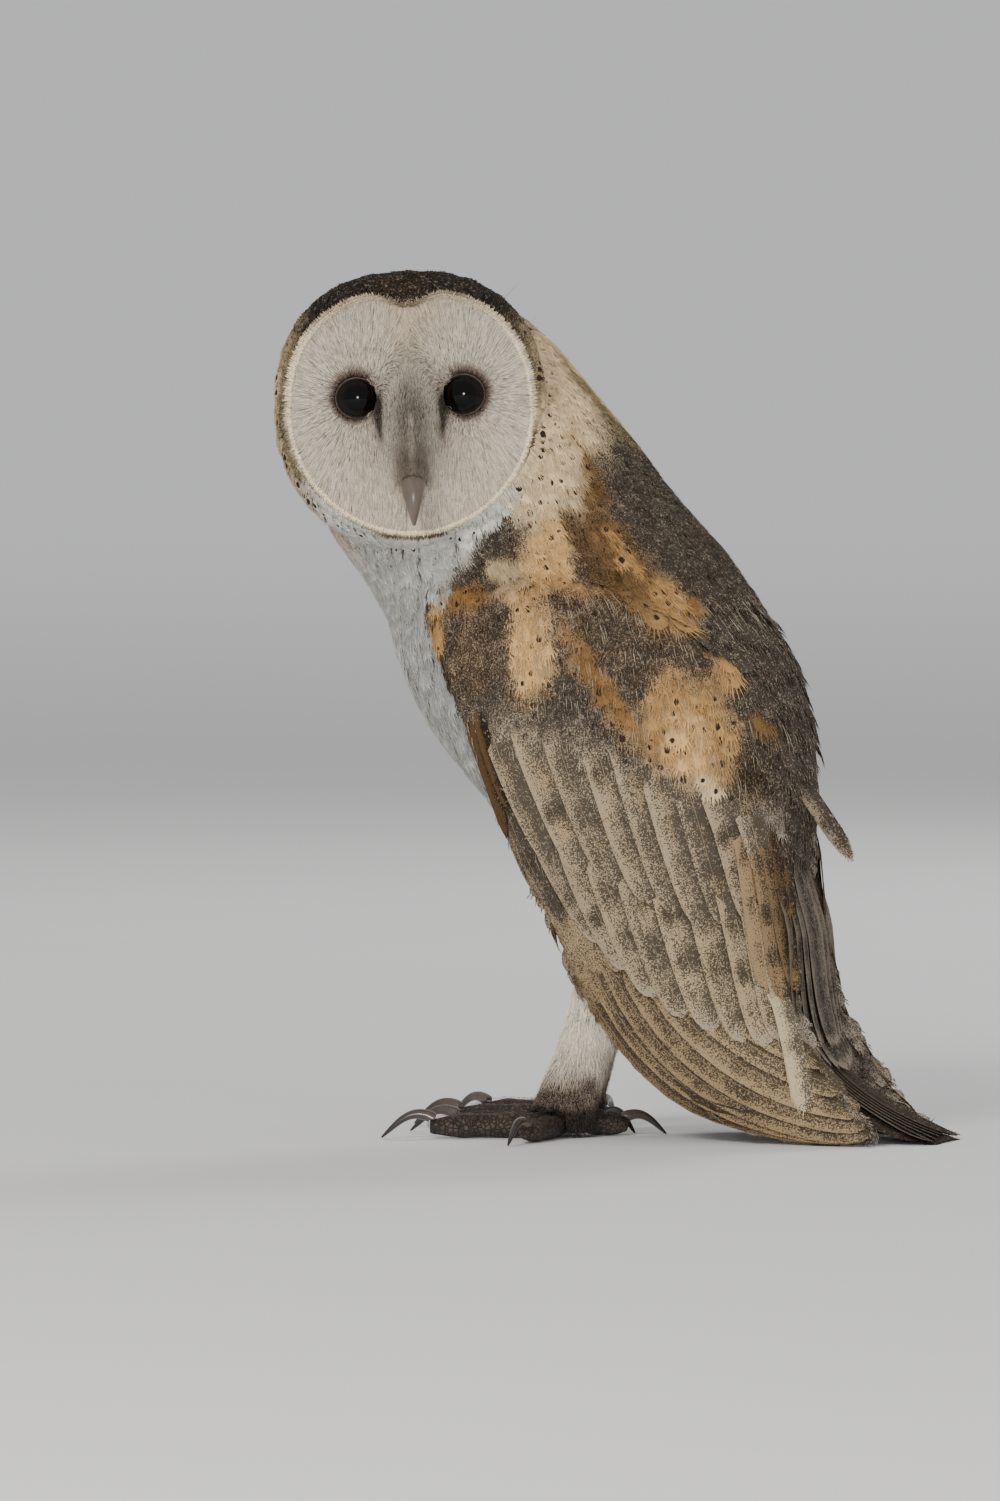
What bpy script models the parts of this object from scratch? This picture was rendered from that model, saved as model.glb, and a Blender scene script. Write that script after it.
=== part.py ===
"""Barn owl, standing: the solids of a still, life-size museum model.

Metres, +Z up. The bird points to -X and slightly towards +Y, and its head is turned to its left, so that
the face looks along -Y. The solids are the outer form of the plumage: feathers are not modelled one by one.
The origin is at the bottom centre of the model's box.
"""
import math

import bpy
import bmesh
import numpy as np

MM = 0.001
GAP = 0.35 * MM                      # clearance between pieces that touch
FLOOR = 0.0                          # level of the soles, wing tips and tail tip

# The body frame: forward, left and up, turned about the upright axis.
BODY_TURN = math.radians(20.0)
FORWARD = np.array([-math.cos(BODY_TURN), math.sin(BODY_TURN), 0.0])
LEFT = np.array([-math.sin(BODY_TURN), -math.cos(BODY_TURN), 0.0])
UP = np.array([0.0, 0.0, 1.0])

# Body and neck: level sections from the vent to the nape, in mm.
# height, front edge and back edge seen square on from the left, half width across the body
BODY_SECTIONS = (
    (38, 34, 52, 12),
    (48, 24, 60, 25),
    (62, 12, 66, 36),
    (80, -1, 72, 43),
    (100, -17, 76, 48.5),
    (120, -36, 79, 52),
    (142, -54, 77.5, 54),
    (165, -66, 72, 54),
    (186, -72, 61, 51),
    (205, -86, 48, 46.5),
    (217, -97, 37, 44),
    (229, -91, 26.5, 41),
    (245, -74, 15, 37),
    (262, -66, 1, 31),
    (278, -62, -12, 24),
    (290, -56, -26, 14),
)
NECK_BASE = 194 * MM                 # level where the neck meets the trunk
BODY_SIDES = 28

# Head: a disc-fronted ball whose sections stand upright, facing -Y, in mm.
HEAD_CENTRE = np.array([-63.4, 0.0, 255.8]) * MM
HEAD_ROLL = math.radians(2.0)
DISC_HALF_WIDTH = 44.0 * MM
DISC_HALF_HEIGHT = 43.5 * MM
UPPER_POWER, LOWER_POWER = 2.35, 2.15    # the outline is a superellipse, fuller above than below
DISC_NOTCH = 3.2 * MM                # dip of the outline between the two lobes
NOTCH_HALF_WIDTH = 9.0 * MM
RIM_FRONT = -38.0 * MM               # where the rim of the facial disc stands
DISC_BACK = -24.0 * MM               # where the facial disc meets the head behind it
# place along Y, half width, half height, rise of the section's centre
HEAD_SECTIONS = (
    (-38, 43.6, 43.0, 0.0),
    (-33, 45.8, 45.6, 0.4),
    (-24, 47.0, 47.8, 1.0),
    (-10, 47.0, 48.2, 0.8),
    (5, 45.5, 47.0, 0.0),
    (18, 41.0, 43.0, -1.0),
    (28, 33.5, 35.5, -2.0),
    (35, 21.5, 23.0, -3.0),
    (38.5, 8.0, 9.0, -3.5),
)
HEAD_SIDES = 28
RIM_SWEEP = 9.0 * MM                 # how much further back the rim's sides stand than its middle
BOWL_DEPTH = 9.0 * MM                # hollow of the disc round each eye
RIDGE_HEIGHT = 9.0 * MM              # nose ridge before the rim, where the bill starts
RIDGE_HALF_WIDTH = 10.0 * MM

EYE_RADIUS = 9.0 * MM
EYE_SPREAD = 18.7 * MM               # from the ridge to the middle of each eye
EYE_RISE = 5.9 * MM
EYE_DEPTH = -24.5 * MM

# Bill in the head's middle plane: place along Y, rise, half width, half depth, in mm.
UPPER_BILL = ((-38, -17.5, 4.6, 4.2), (-44.8, -21.5, 5.0, 4.6), (-49.2, -27.5, 4.1, 4.0),
              (-50, -34, 2.3, 2.7), (-48, -39.4, 0.6, 0.7))
LOWER_BILL = ((-36, -25, 3.4, 2.6), (-41, -29, 3.1, 2.4), (-44, -33.2, 2.0, 1.8),
              (-44.8, -36.6, 0.7, 0.7))

# Folded wing, shoulder to tip, in mm: leading edge (x, height), rear edge (x, height) as seen from the left,
# half width of the curve across the body, and the part of that curve which the wing takes, in degrees.
WING_STATIONS = (
    (-59, 193, 6, 195, 52.5, 60, 118),
    (-57.5, 183, 29, 184, 56, 57, 133),
    (-52, 166, 51, 164, 59, 57, 148),
    (-44, 148, 61, 146, 59.5, 56, 156),
    (-37, 130, 66, 127, 58, 51, 160),
    (-31, 112, 67.5, 107, 55, 46, 162),
    (-21.5, 90, 68.5, 86, 51, 46, 160),
    (-12.5, 69.5, 69.5, 69, 47, 49, 156),
    (-3, 50, 71.5, 54, 43.5, 52, 150),
    (12, 30, 75, 41, 40.5, 55, 143),
    (33, 14, 80, 29, 38, 58, 135),
    (57, 4.3, 86.5, 19, 35.5, 62, 126),
    (77, 0, 93, 10, 33, 66, 118),
    (94, 0, 100, 3, 31, 70, 112),
)
WING_THICKNESS = (3.5, 7.5, 8.5, 8.0, 7.0, 6.5, 6.0, 5.5, 5.0, 4.5, 4.0, 3.4, 2.8, 2.0)
WING_PARTS = (("coverts", 0.0, 5.0), ("secondaries", 5.0, 8.0), ("primaries", 8.0, 13.0))
WING_CHORD_POINTS = 9
WING_JOINT = 0.012                   # gap between the wing's parts, as a share of one step of WING_STATIONS

# Tail: hangs, then curves back until its tip lies on the floor.
TAIL_START = np.array([54.0, 85.2]) * MM
TAIL_FIRST_SLOPE = math.radians(15.0)    # from the upright
TAIL_LAST_SLOPE = math.radians(80.0)
TAIL_STRAIGHT = 28.0 * MM
TAIL_BEND_RADIUS = 81.5 * MM
TAIL_HALF_WIDTHS = (13.0, 15.0, 16.0, 18.0, 21.0, 23.0, 15.0)
TAIL_HALF_THICKNESSES = (4.0, 4.0, 3.4, 2.8, 2.2, 1.8, 1.1)
TAIL_RINGS = 13
TAIL_SIDES = 16
TAIL_SQUARENESS = (0.7, 0.8)         # powers that fill out its section across and through; 1 would be an ellipse
TAIL_CROWN = 0.10                    # rise of its middle over its edges, as a share of the half width

# Legs: middle line as (x, height, radius) in mm, seen from the left, and the offset across the body.
LEG_OFFSET = 20.0 * MM
LEG_LINE = ((24, 90, 12.5), (16, 70, 12.0), (9, 57, 10.5), (3.5, 45, 9.2), (-2.5, 29, 8.4), (-8, 14, 9.2),
            (-9.5, 6, 10.2), (-9.5, 0, 9.4))
THIGH_END = 3.0                      # the place along LEG_LINE where the thigh's feathers end
LEG_JOINT = 0.04                     # gap between thigh and lower leg, as a share of one step of LEG_LINE
LEG_SIDES = 12
LEG_FLATNESS = 0.92                  # width of the leg as a share of its depth
LEG_STEP_START = 60 * MM             # the levels between which a leg leans out to its foot's own place
LEG_STEP_END = 15 * MM
RIGHT_LEG_STEP = 3.0 * MM            # the right foot stands this far towards +X of the left one
# toe: direction out from straight ahead (degrees), its root's offset outwards, length, half thickness at
# its root and claw length (mm)
TOES = ((-148, -1.0, 23, 4.2, 14), (2, -4.8, 43, 4.4, 16), (25, 4.8, 46, 4.6, 17), (88, 2.0, 36, 4.3, 15))
TOE_SIDES, CLAW_SIDES = 9, 7
TOE_START = 0.12                     # share of a toe's length that the foot's middle takes
TOE_TAPER = 0.16                     # loss of thickness along a toe
TOE_FULLNESS = 1.12                  # its thickness where it leaves the foot; 1 is the size given in TOES
TOE_SINK = 0.1                       # how far its middle line sinks along it, as a share of that size
TOE_END = (0.92, 0.58)               # what is left of the thickness at the last two rings
TOE_RINGS = 8
TOE_PADS, PAD_SWELL = 3, 0.09        # pads under a toe and how far they swell it
CLAW_OVERLAP = 2.0 * MM              # how far a claw starts inside its toe
CLAW_RADII = (2.6 * MM, 0.4 * MM)    # at the root and the point
CLAW_ARCH = 0.30                     # rise of a claw's arc, as a share of its length
CLAW_SPAN, CLAW_AHEAD = 0.9, 0.12    # the share of a half turn that the arc takes, and where in it it starts
CLAW_ROOT_RISE = 1.05                # level of a claw's root, as a share of its toe's thickness
CLAW_POINT_RISE = 0.3 * MM
CLAW_TAPER_POWER = 0.75              # under 1: thick for long, then quickly fine
CLAW_RINGS = 7


# ---------------------------------------------------------------- points along curves

def through(rows, places):
    """Smooth curve (Catmull-Rom) through the rows of numbers, read at the given places along it."""
    rows = np.asarray(rows, dtype=float)
    padded = np.vstack([2 * rows[0] - rows[1], rows, 2 * rows[-1] - rows[-2]])
    result = []
    for place in np.atleast_1d(places):
        index = min(int(place), len(rows) - 2)
        t = place - index
        p0, p1, p2, p3 = padded[index:index + 4]
        result.append(0.5 * (2 * p1 + (p2 - p0) * t + (2 * p0 - 5 * p1 + 4 * p2 - p3) * t ** 2
                             + (3 * p1 - p0 - 3 * p2 + p3) * t ** 3))
    return np.array(result)


def smoothstep(low, high, value):
    t = min(max((value - low) / (high - low), 0.0), 1.0)
    return t * t * (3 - 2 * t)


def forward_of(x, across):
    """How far forward a point is whose x and distance to the left of the body's middle are known."""
    return -(x + across * math.sin(BODY_TURN)) / math.cos(BODY_TURN)


def body_point(forward, left, height):
    return forward * FORWARD + left * LEFT + height * UP


def head_point(across, depth, rise):
    """A point of the head from its place across (+X), along Y and up, with the head's roll."""
    cos, sin = math.cos(HEAD_ROLL), math.sin(HEAD_ROLL)
    return HEAD_CENTRE + np.array([across * cos - rise * sin, depth, across * sin + rise * cos])


# ---------------------------------------------------------------- making objects

def make_collection(name):
    collection = bpy.data.collections.new(name)
    bpy.context.scene.collection.children.link(collection)
    return collection


def make_material(name, colour, roughness, metallic=0.0):
    material = bpy.data.materials.new(name)
    material.use_nodes = True
    shader = material.node_tree.nodes["Principled BSDF"]
    shader.inputs["Base Color"].default_value = (*colour, 1.0)
    shader.inputs["Roughness"].default_value = roughness
    shader.inputs["Metallic"].default_value = metallic
    return material


def mesh_object(name, bm, collection, material=None):
    bmesh.ops.recalc_face_normals(bm, faces=bm.faces)
    mesh = bpy.data.meshes.new(name)
    bm.to_mesh(mesh)
    bm.free()
    mesh.shade_smooth()
    mesh.set_sharp_from_angle(angle=math.radians(40))
    obj = bpy.data.objects.new(name, mesh)
    collection.objects.link(obj)
    if material:
        mesh.materials.append(material)
    return obj


def loft(name, rings, collection, material=None):
    """A closed body through rings of points that all have the same count, with a flat cap at each end."""
    bm = bmesh.new()
    rows = [[bm.verts.new(point) for point in ring] for ring in rings]
    count = len(rows[0])
    for low, high in zip(rows, rows[1:]):
        for i in range(count):
            j = (i + 1) % count
            bm.faces.new((low[i], low[j], high[j], high[i]))
    bm.faces.new(rows[0])
    bm.faces.new(reversed(rows[-1]))
    return mesh_object(name, bm, collection, material)


def cut_with(obj, cutters):
    for cutter in cutters:
        modifier = obj.modifiers.new("clear of " + cutter.name, "BOOLEAN")
        modifier.operation = "DIFFERENCE"
        modifier.solver = "EXACT"
        modifier.object = cutter


def hide_cutter(obj):
    obj.hide_render = True
    obj.display_type = "WIRE"
    return obj


# ---------------------------------------------------------------- body and neck

def body_rings(low, high, count, grow=0.0):
    """Level rings of the body between two heights, each an ellipse across the turned body."""
    heights = [row[0] * MM for row in BODY_SECTIONS]
    rings = []
    for height in np.linspace(low, high, count):
        place = np.interp(height, heights, range(len(heights)))
        _, front, back, half_width = through(BODY_SECTIONS, place)[0] * MM
        seen = (back - front) / 2 + grow
        across = half_width + grow
        along = math.sqrt(seen ** 2 - (across * math.sin(BODY_TURN)) ** 2) / math.cos(BODY_TURN)
        middle = forward_of((front + back) / 2, 0.0)
        angles = np.linspace(0, 2 * math.pi, BODY_SIDES, endpoint=False)
        rings.append([body_point(middle + along * math.cos(a), across * math.sin(a), height) for a in angles])
    return rings


def make_trunk(parts, material):
    vent = BODY_SECTIONS[0][0] * MM
    return loft("trunk", body_rings(vent, NECK_BASE - GAP, 15), parts, material)


def make_neck(parts, material, head_cutters):
    nape = BODY_SECTIONS[-1][0] * MM
    neck = loft("neck", body_rings(NECK_BASE, nape, 9), parts, material)
    cut_with(neck, head_cutters)
    return neck


# ---------------------------------------------------------------- head

def disc_outline(angle, half_width, half_height):
    """Outline of the facial disc and head: round, squarer at the top, with the dip between the lobes."""
    power = 2.0 / (UPPER_POWER if math.sin(angle) > 0 else LOWER_POWER)
    across = half_width * math.copysign(abs(math.cos(angle)) ** power, math.cos(angle))
    rise = half_height * math.copysign(abs(math.sin(angle)) ** power, math.sin(angle))
    return across, rise


def swept(depth, across):
    """The face bends back at its sides; the bend fades out towards the flat joint behind the disc."""
    return depth + RIM_SWEEP * (across / DISC_HALF_WIDTH) ** 2 * smoothstep(DISC_BACK, RIM_FRONT, depth)


def head_ring(depth, half_width, half_height, rise, notch):
    ring = []
    for angle in np.linspace(0, 2 * math.pi, HEAD_SIDES, endpoint=False):
        across, up = disc_outline(angle, half_width, half_height)
        if up > 0:
            up -= notch * math.exp(-(across / NOTCH_HALF_WIDTH) ** 2)
        ring.append(head_point(across, swept(depth, across), up + rise))
    return ring


def head_rings(first, last, count, grow=0.0):
    depths = [row[0] * MM for row in HEAD_SECTIONS]
    rings = []
    for depth in np.linspace(first, last, count):
        place = np.interp(depth, depths, range(len(depths)))
        _, half_width, half_height, rise = through(HEAD_SECTIONS, place)[0] * MM
        notch = DISC_NOTCH * smoothstep(-20 * MM, RIM_FRONT, depth)
        rings.append(head_ring(depth, half_width + grow, half_height + grow, rise, notch))
    return rings


def face_depth(across, rise, reach):
    """Where the hollow front of the facial disc lies along Y; reach is 0 at its middle and 1 at its rim."""
    ridge = math.exp(-(across / RIDGE_HALF_WIDTH) ** 2)
    tall = smoothstep(40 * MM, -18 * MM, rise) * smoothstep(-42 * MM, -27 * MM, rise)
    hollow = BOWL_DEPTH * (1 - reach ** 4) * (1 - ridge)
    return RIM_FRONT + hollow - RIDGE_HEIGHT * tall * ridge * (1 - reach ** 2)


def make_facial_disc(parts, material, cutters):
    rings = head_rings(DISC_BACK - GAP, RIM_FRONT, 4)
    for reach in (0.93, 0.78, 0.6, 0.42, 0.25, 0.1):
        ring = []
        for angle in np.linspace(0, 2 * math.pi, HEAD_SIDES, endpoint=False):
            across, rise = disc_outline(angle, DISC_HALF_WIDTH * reach, DISC_HALF_HEIGHT * reach)
            if rise > 0:
                rise -= DISC_NOTCH * reach ** 3 * math.exp(-(across / NOTCH_HALF_WIDTH) ** 2)
            ring.append(head_point(across, swept(face_depth(across, rise, reach), across), rise))
        rings.append(ring)
    disc = loft("facial_disc", rings, parts, material)
    cut_with(disc, cutters)
    return disc


def make_head(parts, material, cutters):
    head = loft("head", head_rings(DISC_BACK, HEAD_SECTIONS[-1][0] * MM, 10), parts, material)
    cut_with(head, cutters)
    return head


def head_clearance(cutters):
    """The head and disc together, slightly larger, to hollow the neck where the head sits in it."""
    back = HEAD_SECTIONS[-1][0] * MM
    rings = head_rings(RIM_FRONT - GAP, back + GAP, 12, GAP)
    return hide_cutter(loft("head_clearance", rings, cutters))


def make_eye(name, side, parts, material=None, grow=0.0):
    bm = bmesh.new()
    bmesh.ops.create_uvsphere(bm, u_segments=16, v_segments=9, radius=EYE_RADIUS + grow)
    eye = mesh_object(name, bm, parts, material)
    eye.location = head_point(side * EYE_SPREAD, EYE_DEPTH, EYE_RISE)
    eye.rotation_euler = (math.radians(90), 0, 0)
    return eye


def bill_rings(line, grow=0.0, sides=10):
    """Ellipses square to the bill's curved middle line."""
    places = np.linspace(0, len(line) - 1, 8)
    points = through(line, places) * MM
    rings = []
    for place, (depth, rise, half_width, half_depth) in zip(places, points):
        ahead = through(line, min(place + 0.05, len(line) - 1))[0]
        behind = through(line, max(place - 0.05, 0))[0]
        tangent = (ahead - behind)[:2]
        normal = np.array([-tangent[1], tangent[0]]) / np.linalg.norm(tangent)
        ring = []
        for a in np.linspace(0, 2 * math.pi, sides, endpoint=False):
            out = (half_depth + grow) * math.sin(a)
            ring.append(head_point((half_width + grow) * math.cos(a), depth + out * normal[0],
                                   rise + out * normal[1]))
        rings.append(ring)
    return rings


def make_head_group(parts, cutters, materials):
    eye_cuts = [hide_cutter(make_eye("eye_clearance_" + side, sign, cutters, grow=GAP))
                for side, sign in (("left", 1), ("right", -1))]
    upper_cut = hide_cutter(loft("upper_bill_clearance", bill_rings(UPPER_BILL, GAP), cutters))
    lower_cut = hide_cutter(loft("lower_bill_clearance", bill_rings(LOWER_BILL, GAP), cutters))
    make_eye("eye_left", 1, parts, materials["eye"])
    make_eye("eye_right", -1, parts, materials["eye"])
    loft("bill_upper", bill_rings(UPPER_BILL), parts, materials["bill"])
    lower = loft("bill_lower", bill_rings(LOWER_BILL), parts, materials["bill"])
    cut_with(lower, [upper_cut])
    make_facial_disc(parts, materials["disc"], eye_cuts + [upper_cut, lower_cut])
    make_head(parts, materials["head"], eye_cuts)


# ---------------------------------------------------------------- wings and tail

def wing_ring(place, side, grow=0.0):
    """A closed ring round the folded wing: its outer curve forwards to back, then its inner curve."""
    x_lead, z_lead, x_rear, z_rear, half_width, first, last = through(WING_STATIONS, place)[0]
    thickness = through([[t] for t in WING_THICKNESS], place)[0][0] * MM
    angles = np.radians(np.linspace(first, last, WING_CHORD_POINTS))
    lead_left = half_width * math.sin(angles[0])
    rear_left = half_width * math.sin(angles[-1])
    lead = np.array([forward_of(x_lead, lead_left), z_lead])
    rear = np.array([forward_of(x_rear, rear_left), z_rear])
    span = math.cos(angles[0]) - math.cos(angles[-1])
    radius = (lead - rear) / span
    centre = lead - radius * math.cos(angles[0])
    outer, inner = [], []
    for t, angle in zip(np.linspace(0, 1, len(angles)), angles):
        forward, height = (centre + radius * math.cos(angle)) * MM
        left = half_width * math.sin(angle) * MM
        depth = thickness * (0.45 + 0.55 * math.sin(math.pi * min(t + 0.12, 1.0)))
        depth = max(depth * (1 - 0.75 * t ** 3), 1.0 * MM)
        normal = np.array([math.cos(angle) * 0.6, math.sin(angle)])
        normal /= np.linalg.norm(normal)
        outward = grow
        outer.append(body_point(forward + outward * normal[0], side * (left + outward * normal[1]),
                                max(height, FLOOR)))
        inward = depth + grow
        inner.append(body_point(forward - inward * normal[0], side * (left - inward * normal[1]),
                                max(height, FLOOR)))
    return outer + inner[::-1]


def make_wing(side_name, side, parts, material, body_cut):
    for part_name, first, last in WING_PARTS:
        steps = int(round((last - first) * 2)) + 1
        start = first + WING_JOINT * (first > 0)
        end = last - WING_JOINT * (last < len(WING_STATIONS) - 1)
        rings = [wing_ring(place, side) for place in np.linspace(start, end, steps)]
        wing = loft("wing_%s_%s" % (side_name, part_name), rings, parts, material)
        cut_with(wing, [body_cut])


def make_tail(parts, material, body_cut):
    bend = TAIL_LAST_SLOPE - TAIL_FIRST_SLOPE
    length = TAIL_STRAIGHT + TAIL_BEND_RADIUS * bend
    last = len(TAIL_HALF_WIDTHS) - 1
    rings = []
    for place in np.linspace(0, 1, TAIL_RINGS):
        along = place * length
        turned = max(along - TAIL_STRAIGHT, 0.0) / TAIL_BEND_RADIUS
        slope = TAIL_FIRST_SLOPE + turned
        straight = min(along, TAIL_STRAIGHT)
        x = (TAIL_START[0] + straight * math.sin(TAIL_FIRST_SLOPE)
             + TAIL_BEND_RADIUS * (math.cos(TAIL_FIRST_SLOPE) - math.cos(slope)))
        z = (TAIL_START[1] - straight * math.cos(TAIL_FIRST_SLOPE)
             - TAIL_BEND_RADIUS * (math.sin(slope) - math.sin(TAIL_FIRST_SLOPE)))
        half_width = through([[w] for w in TAIL_HALF_WIDTHS], place * last)[0][0] * MM
        half_thick = through([[t] for t in TAIL_HALF_THICKNESSES], place * last)[0][0] * MM
        ring = []
        for a in np.linspace(0, 2 * math.pi, TAIL_SIDES, endpoint=False):
            across = half_width * math.copysign(abs(math.cos(a)) ** TAIL_SQUARENESS[0], math.cos(a))
            crown = TAIL_CROWN * half_width * (1 - (across / half_width) ** 2)
            out = half_thick * math.copysign(abs(math.sin(a)) ** TAIL_SQUARENESS[1], math.sin(a)) + crown
            forward = forward_of(x, 0.0) - out * math.cos(slope)
            ring.append(body_point(forward, across, max(z + out * math.sin(slope), FLOOR)))
        rings.append(ring)
    tail = loft("tail", rings, parts, material)
    cut_with(tail, [body_cut])


# ---------------------------------------------------------------- legs

def leg_rings(first, last, count, side, step, grow=0.0):
    rings = []
    for place in np.linspace(first, last, count):
        x, height, radius = through(LEG_LINE, place)[0] * MM
        foot_share = smoothstep(LEG_STEP_START, LEG_STEP_END, height)
        offset = side * LEG_OFFSET
        base = body_point(forward_of(x + step * foot_share, offset), offset, max(height, FLOOR))
        ring = []
        for a in np.linspace(0, 2 * math.pi, LEG_SIDES, endpoint=False):
            ring.append(base + (radius + grow) * (math.cos(a) * FORWARD + LEG_FLATNESS * math.sin(a) * LEFT))
        rings.append(ring)
    return rings


def tube_rings(points, radii, sides, flat=FLOOR):
    """Round rings square to a line of points, pressed flat where they would sink below the floor."""
    rings = []
    for index, point in enumerate(points):
        ahead = points[min(index + 1, len(points) - 1)]
        behind = points[max(index - 1, 0)]
        tangent = (ahead - behind) / np.linalg.norm(ahead - behind)
        side = np.cross(tangent, UP)
        side /= np.linalg.norm(side)
        top = np.cross(side, tangent)
        ring = []
        for a in np.linspace(0, 2 * math.pi, sides, endpoint=False):
            spot = point + radii[index] * (math.cos(a) * side + math.sin(a) * top)
            ring.append(np.array([spot[0], spot[1], max(spot[2], flat)]))
        rings.append(ring)
    return rings


def toe_line(foot, heading, length, root):
    """Middle line and radii of a toe: it leaves the foot, swells at its pads and rounds off at its end."""
    points, radii = [], []
    for reach in np.linspace(TOE_START, 1.0, TOE_RINGS):
        beyond = (reach - TOE_START) / (1 - TOE_START)
        swell = PAD_SWELL * math.cos(TOE_PADS * 2 * math.pi * beyond)
        points.append(foot + heading * length * reach + UP * root * (1.0 - TOE_SINK * reach))
        radii.append(root * (TOE_FULLNESS - TOE_TAPER * reach + swell))
    radii[-2] *= TOE_END[0]
    radii[-1] *= TOE_END[1]
    return points, radii


def claw_line(start, heading, length, root):
    """A claw's arc: out over the toe's end and down to its point on the floor."""
    thick, thin = CLAW_RADII
    points, radii = [], []
    for t in np.linspace(0, 1, CLAW_RINGS):
        arch = CLAW_ARCH * length * math.sin(math.pi * min(t * CLAW_SPAN + CLAW_AHEAD, 1.0))
        rise = root * (CLAW_ROOT_RISE - t) + arch
        points.append(start + heading * length * t + UP * max(rise, CLAW_POINT_RISE))
        radii.append((thick - thin) * (1 - t) ** CLAW_TAPER_POWER + thin)
    return points, radii


def make_toe(name, base, heading, sizes, parts, cutters, materials, cuts):
    """One toe with its claw, cut clear of what is already there; returns the toe's own clearance."""
    length, root, claw = sizes
    points, radii = toe_line(base, heading, length, root)
    toe = loft("toe_" + name, tube_rings(points, radii, TOE_SIDES), parts, materials["toe"])
    cut_with(toe, cuts)
    grown = tube_rings(points, [r + GAP for r in radii], TOE_SIDES, FLOOR - GAP)
    toe_cut = hide_cutter(loft("toe_clearance_" + name, grown, cutters))
    claw_start = base + heading * (length - CLAW_OVERLAP)
    points, radii = claw_line(claw_start, heading, claw + CLAW_OVERLAP, root)
    nail = loft("claw_" + name, tube_rings(points, radii, CLAW_SIDES), parts, materials["claw"])
    cut_with(nail, [toe_cut])
    return toe_cut


def make_leg(side_name, side, parts, cutters, materials, body_cut):
    step = 0.0 if side > 0 else RIGHT_LEG_STEP
    end = len(LEG_LINE) - 1
    feathers = materials["leg"]
    thigh = loft("leg_%s_thigh" % side_name, leg_rings(0, THIGH_END, 7, side, step), parts, feathers)
    cut_with(thigh, [body_cut])
    start = THIGH_END + LEG_JOINT
    loft("leg_%s_tarsus" % side_name, leg_rings(start, end, 8, side, step), parts, feathers)
    grown = leg_rings(start, end, 8, side, step, GAP)
    foot_cut = hide_cutter(loft("foot_clearance_" + side_name, grown, cutters))
    foot_cut.location.z = -GAP / 2           # so that it reaches through the soles
    offset = side * LEG_OFFSET
    foot = body_point(forward_of(LEG_LINE[-1][0] * MM + step, offset), offset, FLOOR)
    cuts = [foot_cut]
    for number, (out, shift, *sizes) in enumerate(TOES, start=1):
        angle = math.radians(out)
        heading = math.cos(angle) * FORWARD + side * math.sin(angle) * LEFT
        base = foot + side * shift * MM * LEFT
        name = "%s_%d" % (side_name, number)
        sizes = np.array(sizes) * MM
        cuts.append(make_toe(name, base, heading, sizes, parts, cutters, materials, cuts))


# ---------------------------------------------------------------- the whole bird

def centre_on_origin(parts, cutters):
    """Carry everything on an empty, moved so that the origin is at the bottom centre of the model's box."""
    bpy.context.view_layer.update()
    depsgraph = bpy.context.evaluated_depsgraph_get()
    corners = []
    for obj in parts.objects:
        mesh = obj.evaluated_get(depsgraph).to_mesh()
        spots = np.empty(len(mesh.vertices) * 3)
        mesh.vertices.foreach_get("co", spots)
        matrix = np.array(obj.matrix_world)
        world = spots.reshape(-1, 3) @ matrix[:3, :3].T + matrix[:3, 3]
        corners += [world.min(axis=0), world.max(axis=0)]
    low, high = np.min(corners, axis=0), np.max(corners, axis=0)
    carrier = bpy.data.objects.new("barn_owl_carrier", None)
    bpy.context.scene.collection.objects.link(carrier)
    for obj in list(parts.objects) + list(cutters.objects):
        obj.parent = carrier
    carrier.location = (-(low[0] + high[0]) / 2, -(low[1] + high[1]) / 2, -low[2])


def main():
    for obj in list(bpy.data.objects):
        bpy.data.objects.remove(obj, do_unlink=True)
    parts = make_collection("barn_owl")
    cutters = make_collection("cutters")
    materials = {
        "head": make_material("crown feathers", (0.20, 0.14, 0.09), 0.85),
        "disc": make_material("facial disc feathers", (0.62, 0.57, 0.50), 0.85),
        "eye": make_material("eye", (0.005, 0.004, 0.004), 0.08),
        "bill": make_material("bill horn", (0.45, 0.38, 0.33), 0.35),
        "body": make_material("body feathers", (0.48, 0.36, 0.24), 0.85),
        "wing": make_material("wing feathers", (0.33, 0.25, 0.17), 0.8),
        "tail": make_material("tail feathers", (0.22, 0.17, 0.12), 0.8),
        "leg": make_material("leg feathers", (0.62, 0.58, 0.52), 0.85),
        "toe": make_material("toe skin", (0.18, 0.12, 0.09), 0.7),
        "claw": make_material("claw horn", (0.03, 0.027, 0.025), 0.25),
    }
    vent, nape = BODY_SECTIONS[0][0] * MM, BODY_SECTIONS[-1][0] * MM
    body_cut = hide_cutter(loft("body_clearance", body_rings(vent - GAP, nape, 24, GAP), cutters))
    make_head_group(parts, cutters, materials)
    make_neck(parts, materials["body"], [head_clearance(cutters)])
    make_trunk(parts, materials["body"])
    for side_name, side in (("left", 1), ("right", -1)):
        make_wing(side_name, side, parts, materials["wing"], body_cut)
        make_leg(side_name, side, parts, cutters, materials, body_cut)
    make_tail(parts, materials["tail"], body_cut)
    centre_on_origin(parts, cutters)


main()
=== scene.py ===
"""Looks of the barn owl: its skin, plumage, eyes, bill, claws and the studio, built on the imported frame.

Points are worked on as rows of numpy arrays, in metres. The owl looks along -Y, and its body points to
-X, turned by BODY_TURN towards +Y. Plumage is closed meshes only: "leaves" (small contour feathers),
"blades" (barbs and bristles) and "vanes" (flight feathers), all laid along the form of the CAD solids.
"""

import math

import bmesh
import bpy
import numpy as np
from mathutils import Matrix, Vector
from mathutils.bvhtree import BVHTree
from mathutils.kdtree import KDTree


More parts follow.
